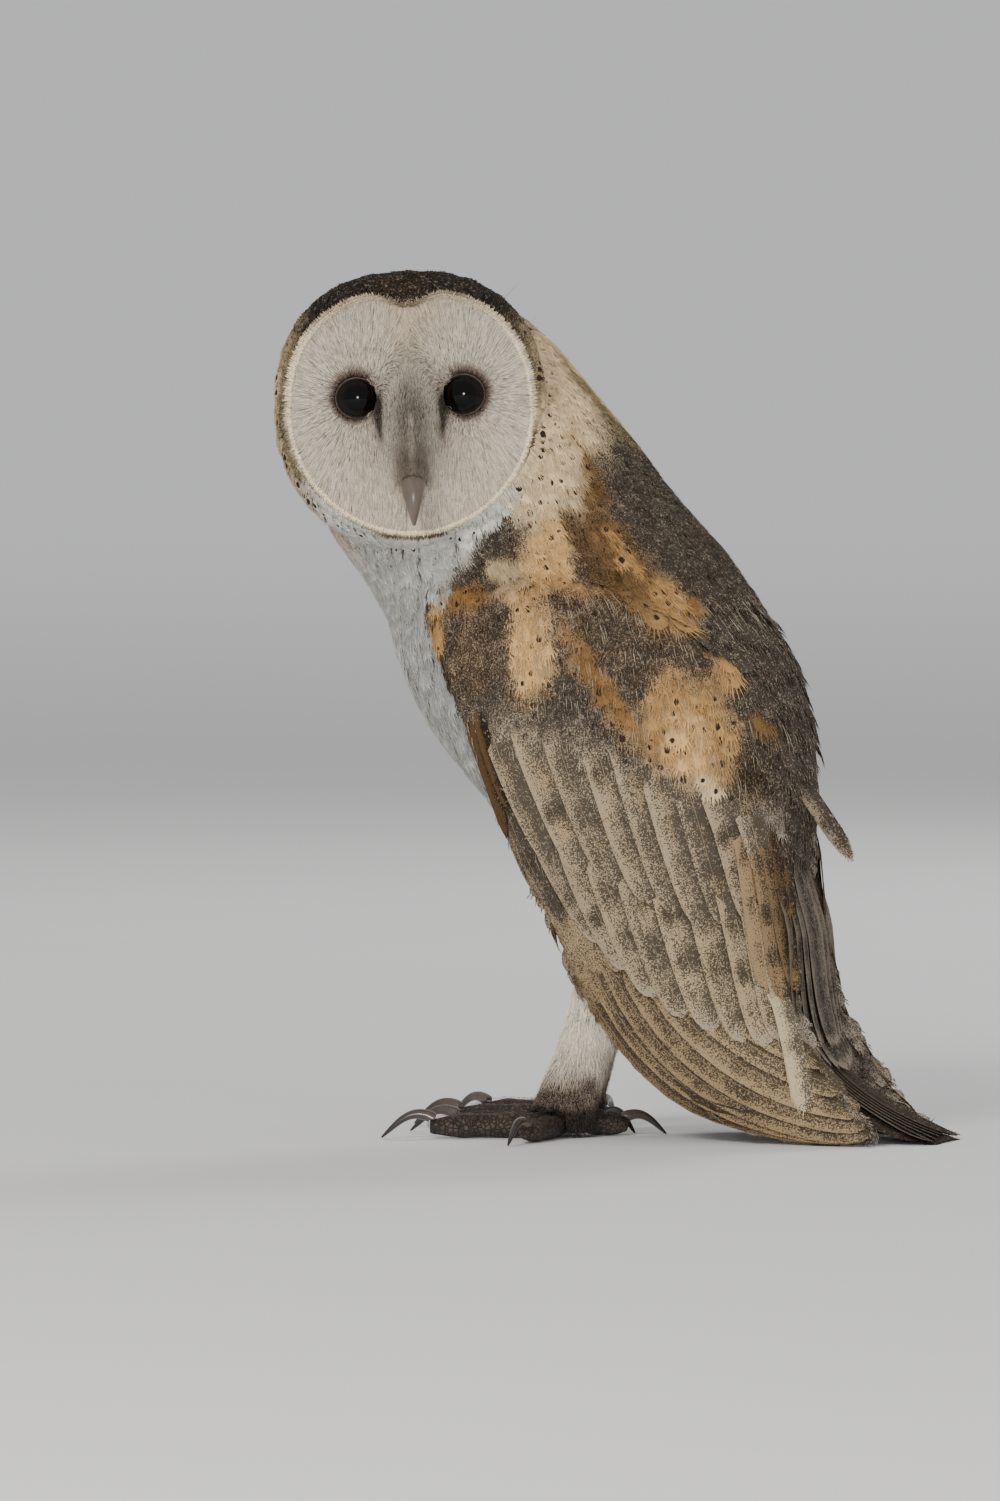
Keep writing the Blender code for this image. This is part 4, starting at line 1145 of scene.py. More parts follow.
def lay_vane(coat, line, normals, side, lead, trail, lift, look, cell, tip_shape, fringe, fray=0.0):
    """One flight feather; lead and trail are the widths ahead of and behind its shaft."""
    stations = VANE_PLACES
    width = smooth(-0.25, 0.22, stations) * np.maximum(1 - stations ** (tip_shape * 4), 0.0) ** 0.4
    heights = np.interp(stations, (0, 0.12, 0.32, 1), (-2.0, -1.2, lift[0], lift[1]))
    middle_line = line + normals * (heights * MM)[:, None]
    along = unit(np.gradient(middle_line, axis=0))
    sideways = unit(np.cross(along, normals) + normals * (ROLL * side))
    left, right = (trail, lead) if side > 0 else (lead, trail)
    points, across_mm, along_mm = leaf_points(middle_line[None], sideways[None], normals[None],
                                              (left * MM * width)[None], (right * MM * width)[None],
                                              VANE_THICKNESS, VANE_CAMBER, VANE_ACROSS)
    size = points.shape[1]
    length = along_mm.max()
    ahead = across_mm * (1 if side > 0 else -1)              # positive ahead of the shaft
    reach = np.where(ahead > 0, ahead / lead, ahead / trail)
    tint, speckle = look(along_mm[0] / length, reach[0])
    if fray:
        jag = RNG.normal(0, fray * MM, (size, 1)) * (np.abs(reach[0]) > 0.9)[:, None]
        points[0] += jag * along.mean(0)
    spot = np.full((1, 1, 3), FAR_SPOT)
    vane = np.stack([across_mm, along_mm, 0 * along_mm], axis=-1)
    column, row, columns, rows = cell
    place = np.stack([(column + 0.5 + 0.42 * across_mm / (lead + trail)) / columns,
                      (row + 0.06 + 0.88 * along_mm / length) / rows], axis=-1)
    place = VANE_MARGIN + (1 - 2 * VANE_MARGIN) * place
    coat.add(points, VANE_FACES, tint[None], speckle[None, :, None], spot, vane, place, VANE_RIM, False)
    add_shaft(coat, middle_line, normals, sideways, place[0, 0], look)
    add_fringe(coat, middle_line, along, sideways, normals, width, left, right, look, place[0, -1],
               fringe)


def add_shaft(coat, line, normals, sideways, place, look):
    """The feather's shaft: a fine three-sided rod that thins towards the tip."""
    count = len(line) - 1
    radius = np.linspace(*SHAFT_RADII, count)[:, None] * MM
    line, normals, sideways = line[:count], normals[:count], sideways[:count]
    corners = [line + normals * radius * (math.sin(a) * 0.8 + 0.45) + sideways * radius * math.cos(a)
               for a in np.radians((90, 210, 330))]
    points = np.stack(corners, axis=1).reshape(-1, 3)
    last = len(points) - 1
    faces = [(0, 1, 2), (last, last - 1, last - 2)]
    for ring in range(0, last - SHAFT_SIDES, SHAFT_SIDES):
        for corner in range(SHAFT_SIDES):
            a, b = ring + corner, ring + (corner + 1) % SHAFT_SIDES
            faces += [(a, a + SHAFT_SIDES, b), (b, a + SHAFT_SIDES, b + SHAFT_SIDES)]
    tint = np.tile(look(np.array([0.4]), np.array([0.0]))[0] * SHAFT_SHADE, (len(points), 1))
    no_spot = np.full((1, 1, 3), FAR_SPOT)
    coat.add(points[None], np.array(faces), tint[None], np.full((1, 1, 1), 0.25), no_spot, 0 * no_spot,
             place, np.zeros(len(points), bool), False)


def add_fringe(coat, line, along, sideways, normals, width, left, right, look, place, length):
    """Loose barbs round the outer part of a flight feather's outline."""
    stations = VANE_PLACES
    t = np.repeat(np.linspace(*OUTER_PART, OUTER_BARBS), 2)
    sign = np.tile((-1.0, 1.0), OUTER_BARBS)
    number = len(t)

    def at(rows):
        return np.stack([np.interp(t, stations, rows[:, axis]) for axis in range(3)], axis=1)
    half = np.where(sign < 0, left, right) * np.interp(t, stations, width) * MM
    base = at(line) + at(sideways) * (sign * half * 0.93)[:, None]
    base -= at(normals) * (VANE_CAMBER * half ** 2)[:, None]
    lean = np.interp(t, (0.55, 0.9, 1.0), (0.35, 0.5, 0.25))
    heading = unit(at(along) + at(sideways) * (sign * lean)[:, None])
    reach = length * MM * RNG.uniform(0.5, 1.2, number) * np.interp(t, (0.55, 0.75, 1), (0.3, 0.8, 1))
    tip = base + heading * reach[:, None]
    mid = (base + tip) / 2 + at(normals) * (0.05 * MM)
    tint, speckle = look(t, sign * 0.9)
    tint = tint * RNG.uniform(0.9, 1.12, (number, 1))
    add_blades(coat, base - heading * MM, mid, tip, at(sideways), at(normals), BARB_HALF_WIDTH, tint,
               speckle, np.tile(place, (number, 1)))


def between(rows, place):
    """A row of numbers read at place (0 to 1) along a few given rows."""
    rows = np.array(rows, float)
    spots = np.linspace(0, 1, len(rows))
    return np.array([np.interp(place, spots, rows[:, column]) for column in range(rows.shape[1])])


def barred(base, bars, strength, pale=None, edge=0.3, tip=None, dark_bars=0.8):
    """Look of a flight feather: ground, speckled bars, a rear vane darkened as painted shade where the
    next feather lies over it, pale gaps and a pale tip.
    """
    bars = np.array(bars) + RNG.normal(0, 0.018, len(bars))
    force = RNG.uniform(0.3, 1.0, len(bars)) * dark_bars
    shine = RNG.uniform(0.1, 0.5, len(bars))
    base = base * RNG.uniform(0.92, 1.08)
    edge, strength = edge * RNG.uniform(0.45, 1.15), strength + RNG.normal(0, 0.04)

    def look(t, reach):
        tint = np.tile(base, (len(t), 1))
        # painted shade: edge adds dark speckle on the rear vane, where the next feather lies over it; the
        # leading side gets less speckle
        speckle = strength + edge * smooth(0.2, -0.5, reach) - 0.2 * smooth(0.4, 0.8, reach)
        for place, dark, light in zip(bars, force, shine):
            shift = 0.012 * reach + 0.004 * np.sin(place * 90)
            bar = bell(t - place - shift, 0.024) * smooth(1.1, 0.5, np.abs(reach)) * dark
            speckle = speckle + (0.9 - speckle) * bar
            tint = painted(tint, umber=bar * 0.6)
            if pale is not None:
                glow = bell(t - place - 0.10, 0.055) * smooth(0.85, 0.0, np.abs(reach + 0.15)) * light
                tint = mix(tint, pale, glow)
                speckle = speckle * (1 - 0.8 * glow)
        if tip is not None:
            end = smooth(0.91, 0.98, t + 0.02 * np.abs(reach))
            tint = mix(tint, tip, end * 0.6)
            speckle = speckle * (1 - 0.4 * end)
        return tint, np.clip(speckle, 0, 0.92)
    return look


# Rows of the folded wing, each given by a few feathers from its leading to its rear edge, as seen square
# on from the owl's side: root (rearward, height), tip (rearward, height), bow, width ahead of and behind
# the shaft, and lift at the root and the tip (mm).
PRIMARIES = ((-14, 76, 90, 1.0, -0.185, 3.0, 7.5, 0.2, 0.3),
             (0, 70, 93, 3.0, -0.165, 5.0, 8.0, 0.4, 0.5),
             (18, 62, 90, 10, -0.12, 5.5, 8.0, 0.7, 0.7),
             (38, 56, 77, 24, -0.05, 5.5, 5.0, 0.9, 0.9))
SECONDARIES = ((-22, 118, -3, 71, -0.03, 5.2, 7.5, 0.9, 1.1),
               (-6, 118, 12, 55, -0.03, 5.8, 8.0, 1.0, 1.2),
               (11, 116, 27, 43, -0.03, 6.0, 8.0, 1.1, 1.3),
               (30, 114, 44, 36, -0.02, 6.0, 8.0, 1.2, 1.4),
               (47, 113, 57, 34, 0.0, 6.0, 6.5, 1.3, 1.5),
               (56, 112, 63, 38, 0.0, 5.5, 4.5, 1.4, 1.6))
GREATER_COVERTS = ((-40, 160, -20, 99, -0.02, 4.6, 7.0, 1.5, 1.6),
                   (-22, 160, -3, 93, -0.02, 5.6, 7.5, 1.6, 1.7),
                   (0, 156, 14, 84, -0.02, 5.8, 7.5, 1.7, 1.8),
                   (16, 148, 28, 77, -0.01, 5.8, 7.5, 1.8, 1.9),
                   (34, 136, 42, 76, 0.0, 5.8, 7.5, 1.9, 2.0),
                   (50, 128, 56, 79, 0.0, 5.5, 6.0, 2.0, 2.1))
TERTIALS = ((50, 128, 57, 54, 0.0, 5.5, 6.0, 2.1, 2.3),
            (56, 126, 62, 47, 0.0, 5.5, 5.5, 2.2, 2.4),
            (61, 122, 65, 60, 0.0, 5.0, 4.5, 2.3, 2.5))
PRIMARY_COVERTS = ((-42, 142, -16, 84, -0.05, 2.4, 5.0, 0.7, 0.9),
                   (-36, 140, -9, 77, -0.04, 4.0, 6.0, 0.8, 1.0))
ALULA = ((-45, 162, -31, 106, -0.03, 2.4, 4.2, 1.5, 1.7),
         (-42, 162, -28, 118, -0.03, 2.4, 3.6, 1.7, 1.9))


def wing_rows():
    """Each row's table, how many feathers it has, their look by place q in the row, yaw at the first and
    the last, tip shape and the length of their fringe (mm)."""
    buff, grey, primary, umber = TONES["buff"], TONES["grey"], TONES["primary"], TONES["umber"]

    def primaries(q):
        return barred(mix(primary, buff, 0.5 * q), (0.30, 0.46, 0.61, 0.75, 0.88),
                      strength=0.55 + 0.08 * q, dark_bars=0.65)

    def secondaries(q):
        return barred(mix(grey, buff, 0.3 + 0.5 * q), (0.42, 0.66), pale=buff, strength=0.58,
                      tip=TONES["pale_tip"])

    def coverts(q):
        return barred(mix(grey, buff, 0.4), (0.36 + 0.06 * math.sin(9 * q), 0.68), pale=TONES["gold"],
                      strength=0.6)

    def tertials(q):
        # edge: strength of the painted shade on the rear vanes
        return barred(mix(primary, umber, q), (0.35, 0.58, 0.8), pale=TONES["gold"],
                      strength=0.42 + 0.3 * q, edge=0.25)

    def primary_coverts(_):
        return barred(mix(grey, umber, 0.45), (0.35, 0.7), strength=0.65)

    def alula(_):
        # edge: strength of the painted shade on the rear vane
        return barred(TONES["alula"], (0.8,), strength=0.25, edge=0.6)
    return ((PRIMARIES, 7, primaries, 0, 12, 3.0, 0.6),
            (SECONDARIES, 9, secondaries, 8, 6, 2.6, 0.6),
            (PRIMARY_COVERTS, 3, primary_coverts, 0, 0, 1.8, 0.6),
            (ALULA, 3, alula, 0, 0, 2.0, 0.4),
            (GREATER_COVERTS, 9, coverts, 8, 8, 2.2, 0.6),
            (TERTIALS, 4, tertials, 4, 10, 2.0, 0.7))


def lay_wing(form, side, material):
    """The flight feathers and large coverts of one folded wing, as one object."""
    coat = Coat()
    wing = form.part_tree(WING, side)
    number = 0
    rows = wing_rows()
    total = sum(row[1] for row in rows) + 1
    wing_map = WING_COLUMNS, -(-total // WING_COLUMNS)
    for table, count, look_of, yaw_first, yaw_last, shape, fringe in rows:
        for index in range(count):
            q = index / (count - 1)
            values = between(table, q) + np.append(RNG.normal(0, 0.35, 4), np.zeros(5))
            root, tip, (bow, lead, trail, lift_root, lift_tip) = values[:2], values[2:4], values[4:]
            yaw = yaw_first * (1 - q) + yaw_last * q
            line, normals = vane_path(wing, root, tip, bow, (0, yaw), side)
            lift = lift_root, lift_tip
            cell = map_cell(number, *wing_map)
            lay_vane(coat, line, normals, side, lead, trail, lift, look_of(q), cell, shape, fringe)
            number += 1
    # edge: strength of the painted shade on its rear vane
    frayed = barred(mix(TONES["pale_tip"], TONES["cream"], 0.6), (0.3, 0.6), strength=0.42, edge=0.4)
    line, normals = vane_path(wing, (56, 66), (70, 12), 0.02, (4, 4), side)
    cell = map_cell(number, *wing_map)
    lay_vane(coat, line, normals, side, 3.8, 4.4, (2.6, 1.8), frayed, cell, 3.4, 2.2, 0.9)
    coat.build("wing_quills_" + SIDE_NAMES[side], material)


# ---------------------------------------------------------------- tail
TAIL_ROOT = np.array([54.0, 85.2])      # rearward and height, mm
TAIL_SLOPES = (15.0, 80.0)              # from the upright, degrees
TAIL_STRAIGHT = 28.0
TAIL_BEND_RADIUS = 81.5
TAIL_FEATHERS = 12
TAIL_MAP = (4, 3)                       # columns and rows
TAIL_FAN = (4.0, 17.5)                  # half width of the fan of shafts at the root and the tip, mm


def tail_line(places):
    """Middle of the tail's upper side: rearward, height and slope at each place along it."""
    first, last = np.radians(TAIL_SLOPES)
    length = TAIL_STRAIGHT + TAIL_BEND_RADIUS * (last - first)
    along = places * length
    slope = first + np.maximum(along - TAIL_STRAIGHT, 0) / TAIL_BEND_RADIUS
    straight = np.minimum(along, TAIL_STRAIGHT)
    x = TAIL_ROOT[0] + straight * math.sin(first) + TAIL_BEND_RADIUS * (math.cos(first) - np.cos(slope))
    z = TAIL_ROOT[1] - straight * math.cos(first) - TAIL_BEND_RADIUS * (np.sin(slope) - math.sin(first))
    return x * MM, z * MM, slope


def lay_tail(form, material):
    """Twelve tail feathers fanned side by side, the middle pair on top."""
    coat = Coat()
    x, z, slope = tail_line(0.985 * VANE_PLACES)
    out = np.outer(np.sin(slope), UP) - np.outer(np.cos(slope), FORWARD)
    half = (TAIL_FEATHERS - 1) / 2
    for order, index in enumerate(sorted(range(TAIL_FEATHERS), key=lambda i: -abs(i - half))):
        share = (index - half) / half
        fan = np.linspace(*TAIL_FAN, VANE_STATIONS) * share * MM
        guess = ORIGIN + np.outer(-x / TURN_COS, FORWARD) + np.outer(z, UP) + np.outer(fan, LEFT)
        line = []
        for point, direction in zip(guess + out * 10 * MM, -out):
            hit = form.tree.ray_cast(Vector(point), Vector(direction))
            line.append(np.array(hit[0]) if hit[0] is not None else point + direction * 8 * MM)
        line = np.array(line)
        line[:, 2] = np.maximum(line[:, 2], 0.8 * MM)
        line = evened(line, 1)
        # the tail tone is partly painted shade
        look = barred(mix(TONES["tail"], TONES["tail_pale"], 0.35 * abs(share)), (0.42, 0.6, 0.78, 0.93),
                      strength=0.5)
        side = 1 if share > 0 else -1
        cell = map_cell(order, *TAIL_MAP)
        lift = 0.2 + 0.14 * order
        lay_vane(coat, line, out, side, 5.0, 5.6, (lift, lift * 0.6), look, cell, 2.2, 1.0)
    coat.build("tail_quills", material)


RUMP_REAR = (79.0, 76.5, 75.0, 78.0, 84.5, 93.0)         # the rump's and tail's upper side: rearward, mm
RUMP_HEIGHT = (100.0, 80.0, 62.0, 46.0, 34.0, 24.0)      # and its height
# Rows of its coverts: start and end along it, feathers, half width and how far the row stands off (mm).
RUMP_ROWS = ((0.15, 1.0, 9, 26.0, 0.0), (0.08, 0.96, 9, 25.0, 4.5), (0.0, 0.84, 8, 23.0, 8.0))
RUMP_MAP = (7, 4)                       # columns and rows
# The ends of the loose feather that stands off the back: rearward, height and left, mm.
LOOSE_FEATHER = ((76, 102), (131, 98.5), (4, 12))


def free_line(rear, height, left):
    """A feather's middle line from places given in mm in the body's frame, and its normals."""
    line = ORIGIN - np.outer(rear, FORWARD) * MM + np.outer(height, UP) * MM + np.outer(left, LEFT) * MM
    line = evened(line)
    along = unit(np.gradient(line, axis=0))
    return line, unit(np.cross(LEFT, along))


def lay_rump(material):
    """Long coverts over the tail's root and the clefts beside it, and one loose feather off the back."""
    coat = Coat()
    knots = np.linspace(0, 1, len(RUMP_REAR))
    order = 0
    for start, end, count, spread, proud in RUMP_ROWS:
        for place in np.linspace(-1, 1, count):
            reach = start + (end - start * 0.5) * (1 - 0.1 * abs(place)) * VANE_PLACES
            left = place * spread * np.linspace(0.85, 1.0, VANE_STATIONS) + RNG.normal(0, 0.5)
            rear = np.interp(reach, knots, RUMP_REAR) - 3.0 * (left / 26) ** 2
            rear += proud * np.interp(VANE_PLACES, (0, 0.45, 0.75, 1), (0, 1, 0.9, 0.5))
            line, normals = free_line(rear, np.interp(reach, knots, RUMP_HEIGHT), left)
            # the tail tone here is partly painted shade
            look = barred(mix(TONES["tail_pale"], TONES["tail"], 0.45), (0.5, 0.72, 0.9), strength=0.58,
                          tip=TONES["tail_pale"])
            lift = 0.5 + 0.06 * order
            cell = map_cell(order, *RUMP_MAP)
            side = 1 if place > 0 else -1
            lay_vane(coat, line, normals, side, 5.6, 6.2, (lift, lift), look, cell, 2.2, 1.4)
            order += 1
    line, normals = free_line(*(np.linspace(*ends, VANE_STATIONS) for ends in LOOSE_FEATHER))
    look = barred(TONES["mantle"], (0.6, 0.8), strength=0.6, tip=TONES["pale_tip"])
    normals = unit(normals * 0.5 + LEFT)
    cell = map_cell(order + 1, *RUMP_MAP)
    lay_vane(coat, line, normals, 1, 3.0, 3.6, (0.3, 0.3), look, cell, 2.0, 1.6)
    coat.build("rump_coverts", material)


# ---------------------------------------------------------------- face
FACE_ROOTS = 25000              # filaments strewn over each side of the disc
LASHES = 560                    # round each eye
BRISTLES = 1500                 # over the root of the bill
RUFF_FEATHERS = 700             # in each row
# The ruff's rows: root and tip as shares of the disc, how far it stands proud (mm), and how brown its
# ends and its middles are.
RUFF_ROWS = ((0.945, 0.982, 0.7, 0.05, 0.0),
             (0.955, 0.995, 1.1, 0.35, 0.15),
             (0.972, 1.020, 0.9, 1.0, 0.9))
RUFF_EDGE = 0.965               # the share of the disc where the ruff stands
FRONT_START = -100 * MM         # depth at which lines onto the face start
BARE_EYE = 6.4 * MM             # no filament grows nearer to an eye's middle
BARE_BILL = 3.6 * MM            # nor nearer to the bill
DISC_EDGE = 0.985               # nor further out on the disc


def disc_outline(angle, reach):
    """Across and rise of the facial disc's outline, drawn in to a share of its size."""
    sin, cos = np.sin(angle), np.cos(angle)
    power = np.where(sin > 0, 2.0 / UPPER_POWER, 2.0 / LOWER_POWER)
    across = DISC_HALF_WIDTH * reach * np.sign(cos) * np.abs(cos) ** power
    rise = DISC_HALF_HEIGHT * reach * np.sign(sin) * np.abs(sin) ** power
    dip = RUFF_NOTCH * bell(across, NOTCH_HALF_WIDTH) * reach ** 3
    return across, np.where(rise > 0, rise - dip, rise)


def front_hit(form, across, rise):
    """Where the head's front is met from ahead."""
    starts = from_head(across, FRONT_START, rise)
    hits = [form.tree.ray_cast(Vector(start), Vector(DEPTH)) for start in starts]
    return np.array([hit[0] if hit[0] is not None else start for hit, start in zip(hits, starts)])


def face_unwrap(points):
    across, _, rise = to_head(points).T
    return 0.5 + 0.47 * np.stack([across, rise], axis=-1) / (DISC_HALF_WIDTH * 1.12)


def add_face_blades(coat, root, mid, tip, up, half_width, tint):
    """Blades of the disc that need no flow, without speckle."""
    side = unit(np.cross(tip - root, up))
    add_blades(coat, root, mid, tip, side, up, half_width, tint, 0.0, face_unwrap(root))


def lay_face(form, side, material):
    """Filaments over one side of the facial disc, short round the eye."""
    coat = Coat()
    own_side = to_head(form.points)[:, 0] * side > 0
    roots = form.strewn(FACE_ROOTS, (form.parts == FACE) & own_side)
    across, _, rise = to_head(roots).T
    reach = np.abs(across)
    from_eye = np.hypot(reach - EYE_SPREAD, rise - EYE_RISE)
    from_bill = np.hypot(across / 0.8, np.clip(rise, -40 * MM, -22 * MM) - rise)
    inside = disc_reach(across / MM, rise / MM) < DISC_EDGE
    keep = (from_eye > BARE_EYE) & (from_bill > BARE_BILL) & inside
    roots, from_eye, reach, rise = roots[keep], from_eye[keep], reach[keep], rise[keep]
    length = np.interp(from_eye, (BARE_EYE, 20 * MM), (2.6, 7.0)) * MM
    ridge = bell(reach, 9 * MM) * smooth(36 * MM, 12 * MM, rise)
    lay_barbs(coat, form, roots, length * (1 - 0.4 * ridge), 0.15 * MM, 0.8 * MM, 0.28 * MM, face_unwrap,
              scatter=0.06, shade=0.22)
    add_lashes(coat, form, side)
    if side > 0:
        add_bristles(coat, form)
    coat.build("face_filaments_" + SIDE_NAMES[side], material)


def add_lashes(coat, form, side):
    """Fine barbs that spread from the lids over the disc, dark at their roots."""
    number = LASHES
    angle = RNG.uniform(0, 2 * math.pi, number)
    start = np.minimum(lid_reach(angle, side) + RNG.uniform(0.5, 1.1, number) * MM, 0.96 * EYE_RADIUS)
    end = start + RNG.uniform(2.0, 4.0, number) * (1 + 0.3 * np.sin(angle)) * MM
    ball = np.sqrt(EYE_RADIUS ** 2 - start ** 2)
    offset = np.stack([start * np.cos(angle), -ball - 0.25 * MM, start * np.sin(angle)], axis=1)
    root = EYES[side] + offset @ HEAD_AXES
    eye_across, _, eye_rise = to_head(EYES[side])
    tip = front_hit(form, eye_across + end * np.cos(angle), eye_rise + end * np.sin(angle))
    tip = tip - DEPTH * 0.5 * MM
    mid = (root + tip) / 2 - DEPTH * 0.3 * MM
    brown = TONES["eye_ring"] * RNG.uniform(0.3, 0.9, (number, 1))
    pale = mix(TONES["disc_shade"], TONES["disc"], RNG.random(number))
    tint = np.stack([TONES["tear"] + 0 * brown, brown, brown, brown, pale], axis=1)
    add_face_blades(coat, root, mid, tip, -DEPTH, 0.12 * MM, tint)


def add_bristles(coat, form):
    """Bristles of the nose ridge's foot, which lie down over the root of the bill and along its sides."""
    bill = BVHTree.FromPolygons(*node_rows("bill_upper"))

    def draped(across, rise, proud):
        starts = from_head(across, FRONT_START, rise)
        reach = []
        for start in starts:
            hits = [tree.ray_cast(Vector(start), Vector(DEPTH)) for tree in (form.tree, bill)]
            reach.append(min(hit[3] for hit in hits if hit[0] is not None))
        return starts + DEPTH * (np.array(reach) - proud)[:, None]
    number = BRISTLES
    spread = RNG.uniform(-1, 1, number)
    start = RNG.uniform(-21.5, -8, number) * MM
    across = spread * 7.4 * MM
    end = np.maximum(start - RNG.uniform(4.5, 6.5, number) * MM, (-20.6 - 5.5 * spread ** 2) * MM)
    end -= RNG.uniform(0, 1.4, number) * MM
    root = draped(across, start, -0.6 * MM)
    mid = draped(across * 0.97, (start + end) / 2, 0.55 * MM)
    tip = draped(across * 0.92, end, 0.5 * MM)
    normal = unit(spread[:, None] * 0.6 * ACROSS - DEPTH)
    tint = paint_face(mid)[0] * RNG.uniform(0.72, 1.22, (number, 1))
    add_face_blades(coat, root, mid, tip, normal, 0.19 * MM, tint)


def lay_rim(form, material):
    """The ruff: a close-set raised edge of stiff pale feathers with dark ends round the disc."""
    coat = Coat()
    count = RUFF_FEATHERS
    for row, (inner, reach, proud, brown_ends, brown_middles) in enumerate(RUFF_ROWS):
        angle = np.linspace(0, 2 * math.pi, count, endpoint=False) + RNG.normal(0, 0.003, count)
        root = front_hit(form, *disc_outline(angle, inner + RNG.normal(0, 0.004, count)))
        edge = front_hit(form, *disc_outline(angle, RUFF_EDGE))
        across, depth, rise = to_head(edge).T
        low = smooth(0.2, -0.7, np.sin(angle))
        clump = value_noise(edge, 3.0 * MM, 9)
        outer = reach + 0.012 * row * low * clump
        across_out, rise_out = disc_outline(angle, outer + RNG.normal(0, 0.006, count))
        tip = from_head(across_out, depth - proud * MM + (outer - RUFF_EDGE) * 30 * MM, rise_out)
        mid = root * 0.5 + tip * 0.5 - DEPTH * (0.6 + 0.3 * proud) * MM
        ends = brown_ends * np.clip(0.25 + 0.75 * low + 1.2 * (clump - 0.5), 0, 1)
        high = 0.7 * smooth(0.5, 0.95, np.sin(angle))
        rim = mix(TONES["rim"], TONES["forehead"], np.clip(high + 0.2 * row, 0, 1))
        notch = bell(across, NOTCH_HALF_WIDTH) * (rise > 0)
        rim = mix(rim, TONES["crown_gold"], notch * 0.75) * (1 + RNG.normal(0, 0.1, (count, 1)))
        brown = TONES["rim_edge"] * RNG.uniform(0.4, 1.4, (count, 1))
        whole = mix(rim, brown, ends * brown_middles)
        tint = np.stack([rim, whole, whole, whole, mix(rim, brown, ends)], axis=1)
        add_face_blades(coat, root + DEPTH * 0.5 * MM, mid, tip, -DEPTH, 0.36 * MM, tint)
    coat.build("disc_ruff", material)


def lid_reach(angle, side):
    """Opening of the lids from the eye's middle: flatter above, drawn out to the inner corner below."""
    inner_corner = math.radians(-152 if side > 0 else -28)
    turn = (angle - inner_corner + math.pi) % (2 * math.pi) - math.pi
    return (6.7 - 0.4 * np.abs(np.sin(angle)) ** 1.5 + 0.8 * bell(turn, 0.3)) * MM


LID_STEPS = 72
# Section of a lid: how far out from the opening and above the ball (mm), and how pale.
LID_SECTION = ((0.0, 0.08, 0), (0.1, 0.2, 0), (0.25, 0.26, 0), (0.5, 0.24, 0), (0.8, 0.15, 0.7),
               (1.3, 0.0, 1), (1.9, -0.3, 1), (1.5, -1.0, 1), (0.4, -0.6, 0))


def make_lids(side, material):
    """The bare rim of the lids round one eye: a closed ring that hugs the ball."""
    angle = np.linspace(0, 2 * math.pi, LID_STEPS, endpoint=False)
    opening = lid_reach(angle, side)
    rows = []
    for out, above, _ in LID_SECTION:
        reach = opening + out * MM
        ball = np.sqrt(np.maximum(EYE_RADIUS ** 2 - np.minimum(reach, 0.97 * EYE_RADIUS) ** 2, 0))
        offset = np.stack([reach * np.cos(angle), -ball - above * MM, reach * np.sin(angle)], axis=1)
        rows.append(EYES[side] + offset @ HEAD_AXES)
    count, ring = len(rows), len(angle)
    faces = [(r * ring + c, r * ring + (c + 1) % ring, (r + 1) % count * ring + (c + 1) % ring,
              (r + 1) % count * ring + c) for r in range(count) for c in range(ring)]
    shade = np.repeat([row[2] for row in LID_SECTION], ring)
    plain_object("lids_" + SIDE_NAMES[side], np.vstack(rows), faces, material, shade, 1)


def plain_object(name, points, faces, material, tones, levels):
    """A smooth closed piece with a tone at each point, subdivided, with its faces turned out."""
    bm = bmesh.new()
    verts = [bm.verts.new(p) for p in points]
    for face in faces:
        bm.faces.new([verts[v] for v in face])
    bmesh.ops.recalc_face_normals(bm, faces=bm.faces)
    mesh = bpy.data.meshes.new(name)
    bm.to_mesh(mesh)
    bm.free()
    layer = mesh.attributes.new("tone", "FLOAT", "POINT")
    layer.data.foreach_set("value", np.asarray(tones, np.float32))
    mesh.shade_smooth()
    mesh.materials.append(material)
    obj = linked(name, mesh)
    if levels:
        finer = obj.modifiers.new("finer", "SUBSURF")
        finer.levels = finer.render_levels = levels
    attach(obj, "root")
    return obj


CORNEA = 0.06 * MM              # how far the cornea stands off the ball
CORNEA_SPREAD = 0.6             # and its half width on it, radians
IRIS_SPREAD = 0.9
EYE_ROWS, EYE_COLUMNS = 40, 64


def make_eye(side, material):
    """The eyeball, finer than its solid, with the cornea's bulge."""
    name = "eye_" + SIDE_NAMES[side]
    points, reach = [EYES[side] - DEPTH * (EYE_RADIUS + CORNEA)], [0.0]
    for polar in np.linspace(0, math.pi, EYE_ROWS + 2)[1:-1]:
        radius = EYE_RADIUS + CORNEA * bell(polar, CORNEA_SPREAD)
        out = math.sin(polar)
        for turn in np.linspace(0, 2 * math.pi, EYE_COLUMNS, endpoint=False):
            offset = np.array([out * math.cos(turn), -math.cos(polar), out * math.sin(turn)])
            points.append(EYES[side] + offset @ HEAD_AXES * radius)
            reach.append(min(polar / IRIS_SPREAD, 1.5))
    points.append(EYES[side] + DEPTH * EYE_RADIUS)
    reach.append(1.5)
    last = len(points) - 1
    faces = []
    for c in range(EYE_COLUMNS):
        d = (c + 1) % EYE_COLUMNS
        faces.append((0, 1 + c, 1 + d))
        faces.append((last, last - EYE_COLUMNS + d, last - EYE_COLUMNS + c))
        for a in range(1, last - EYE_COLUMNS, EYE_COLUMNS):
            b = a + EYE_COLUMNS
            faces.append((a + c, b + c, b + d, a + d))
    eye = plain_object("ball_" + name, points, faces, material, reach, 0)
    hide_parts(name)


JOIN_ANGLE, JOIN_SHAPE = 0.6, 3.1       # triangles of a solid that make one face between them, radians
HORN_LEVELS = 2


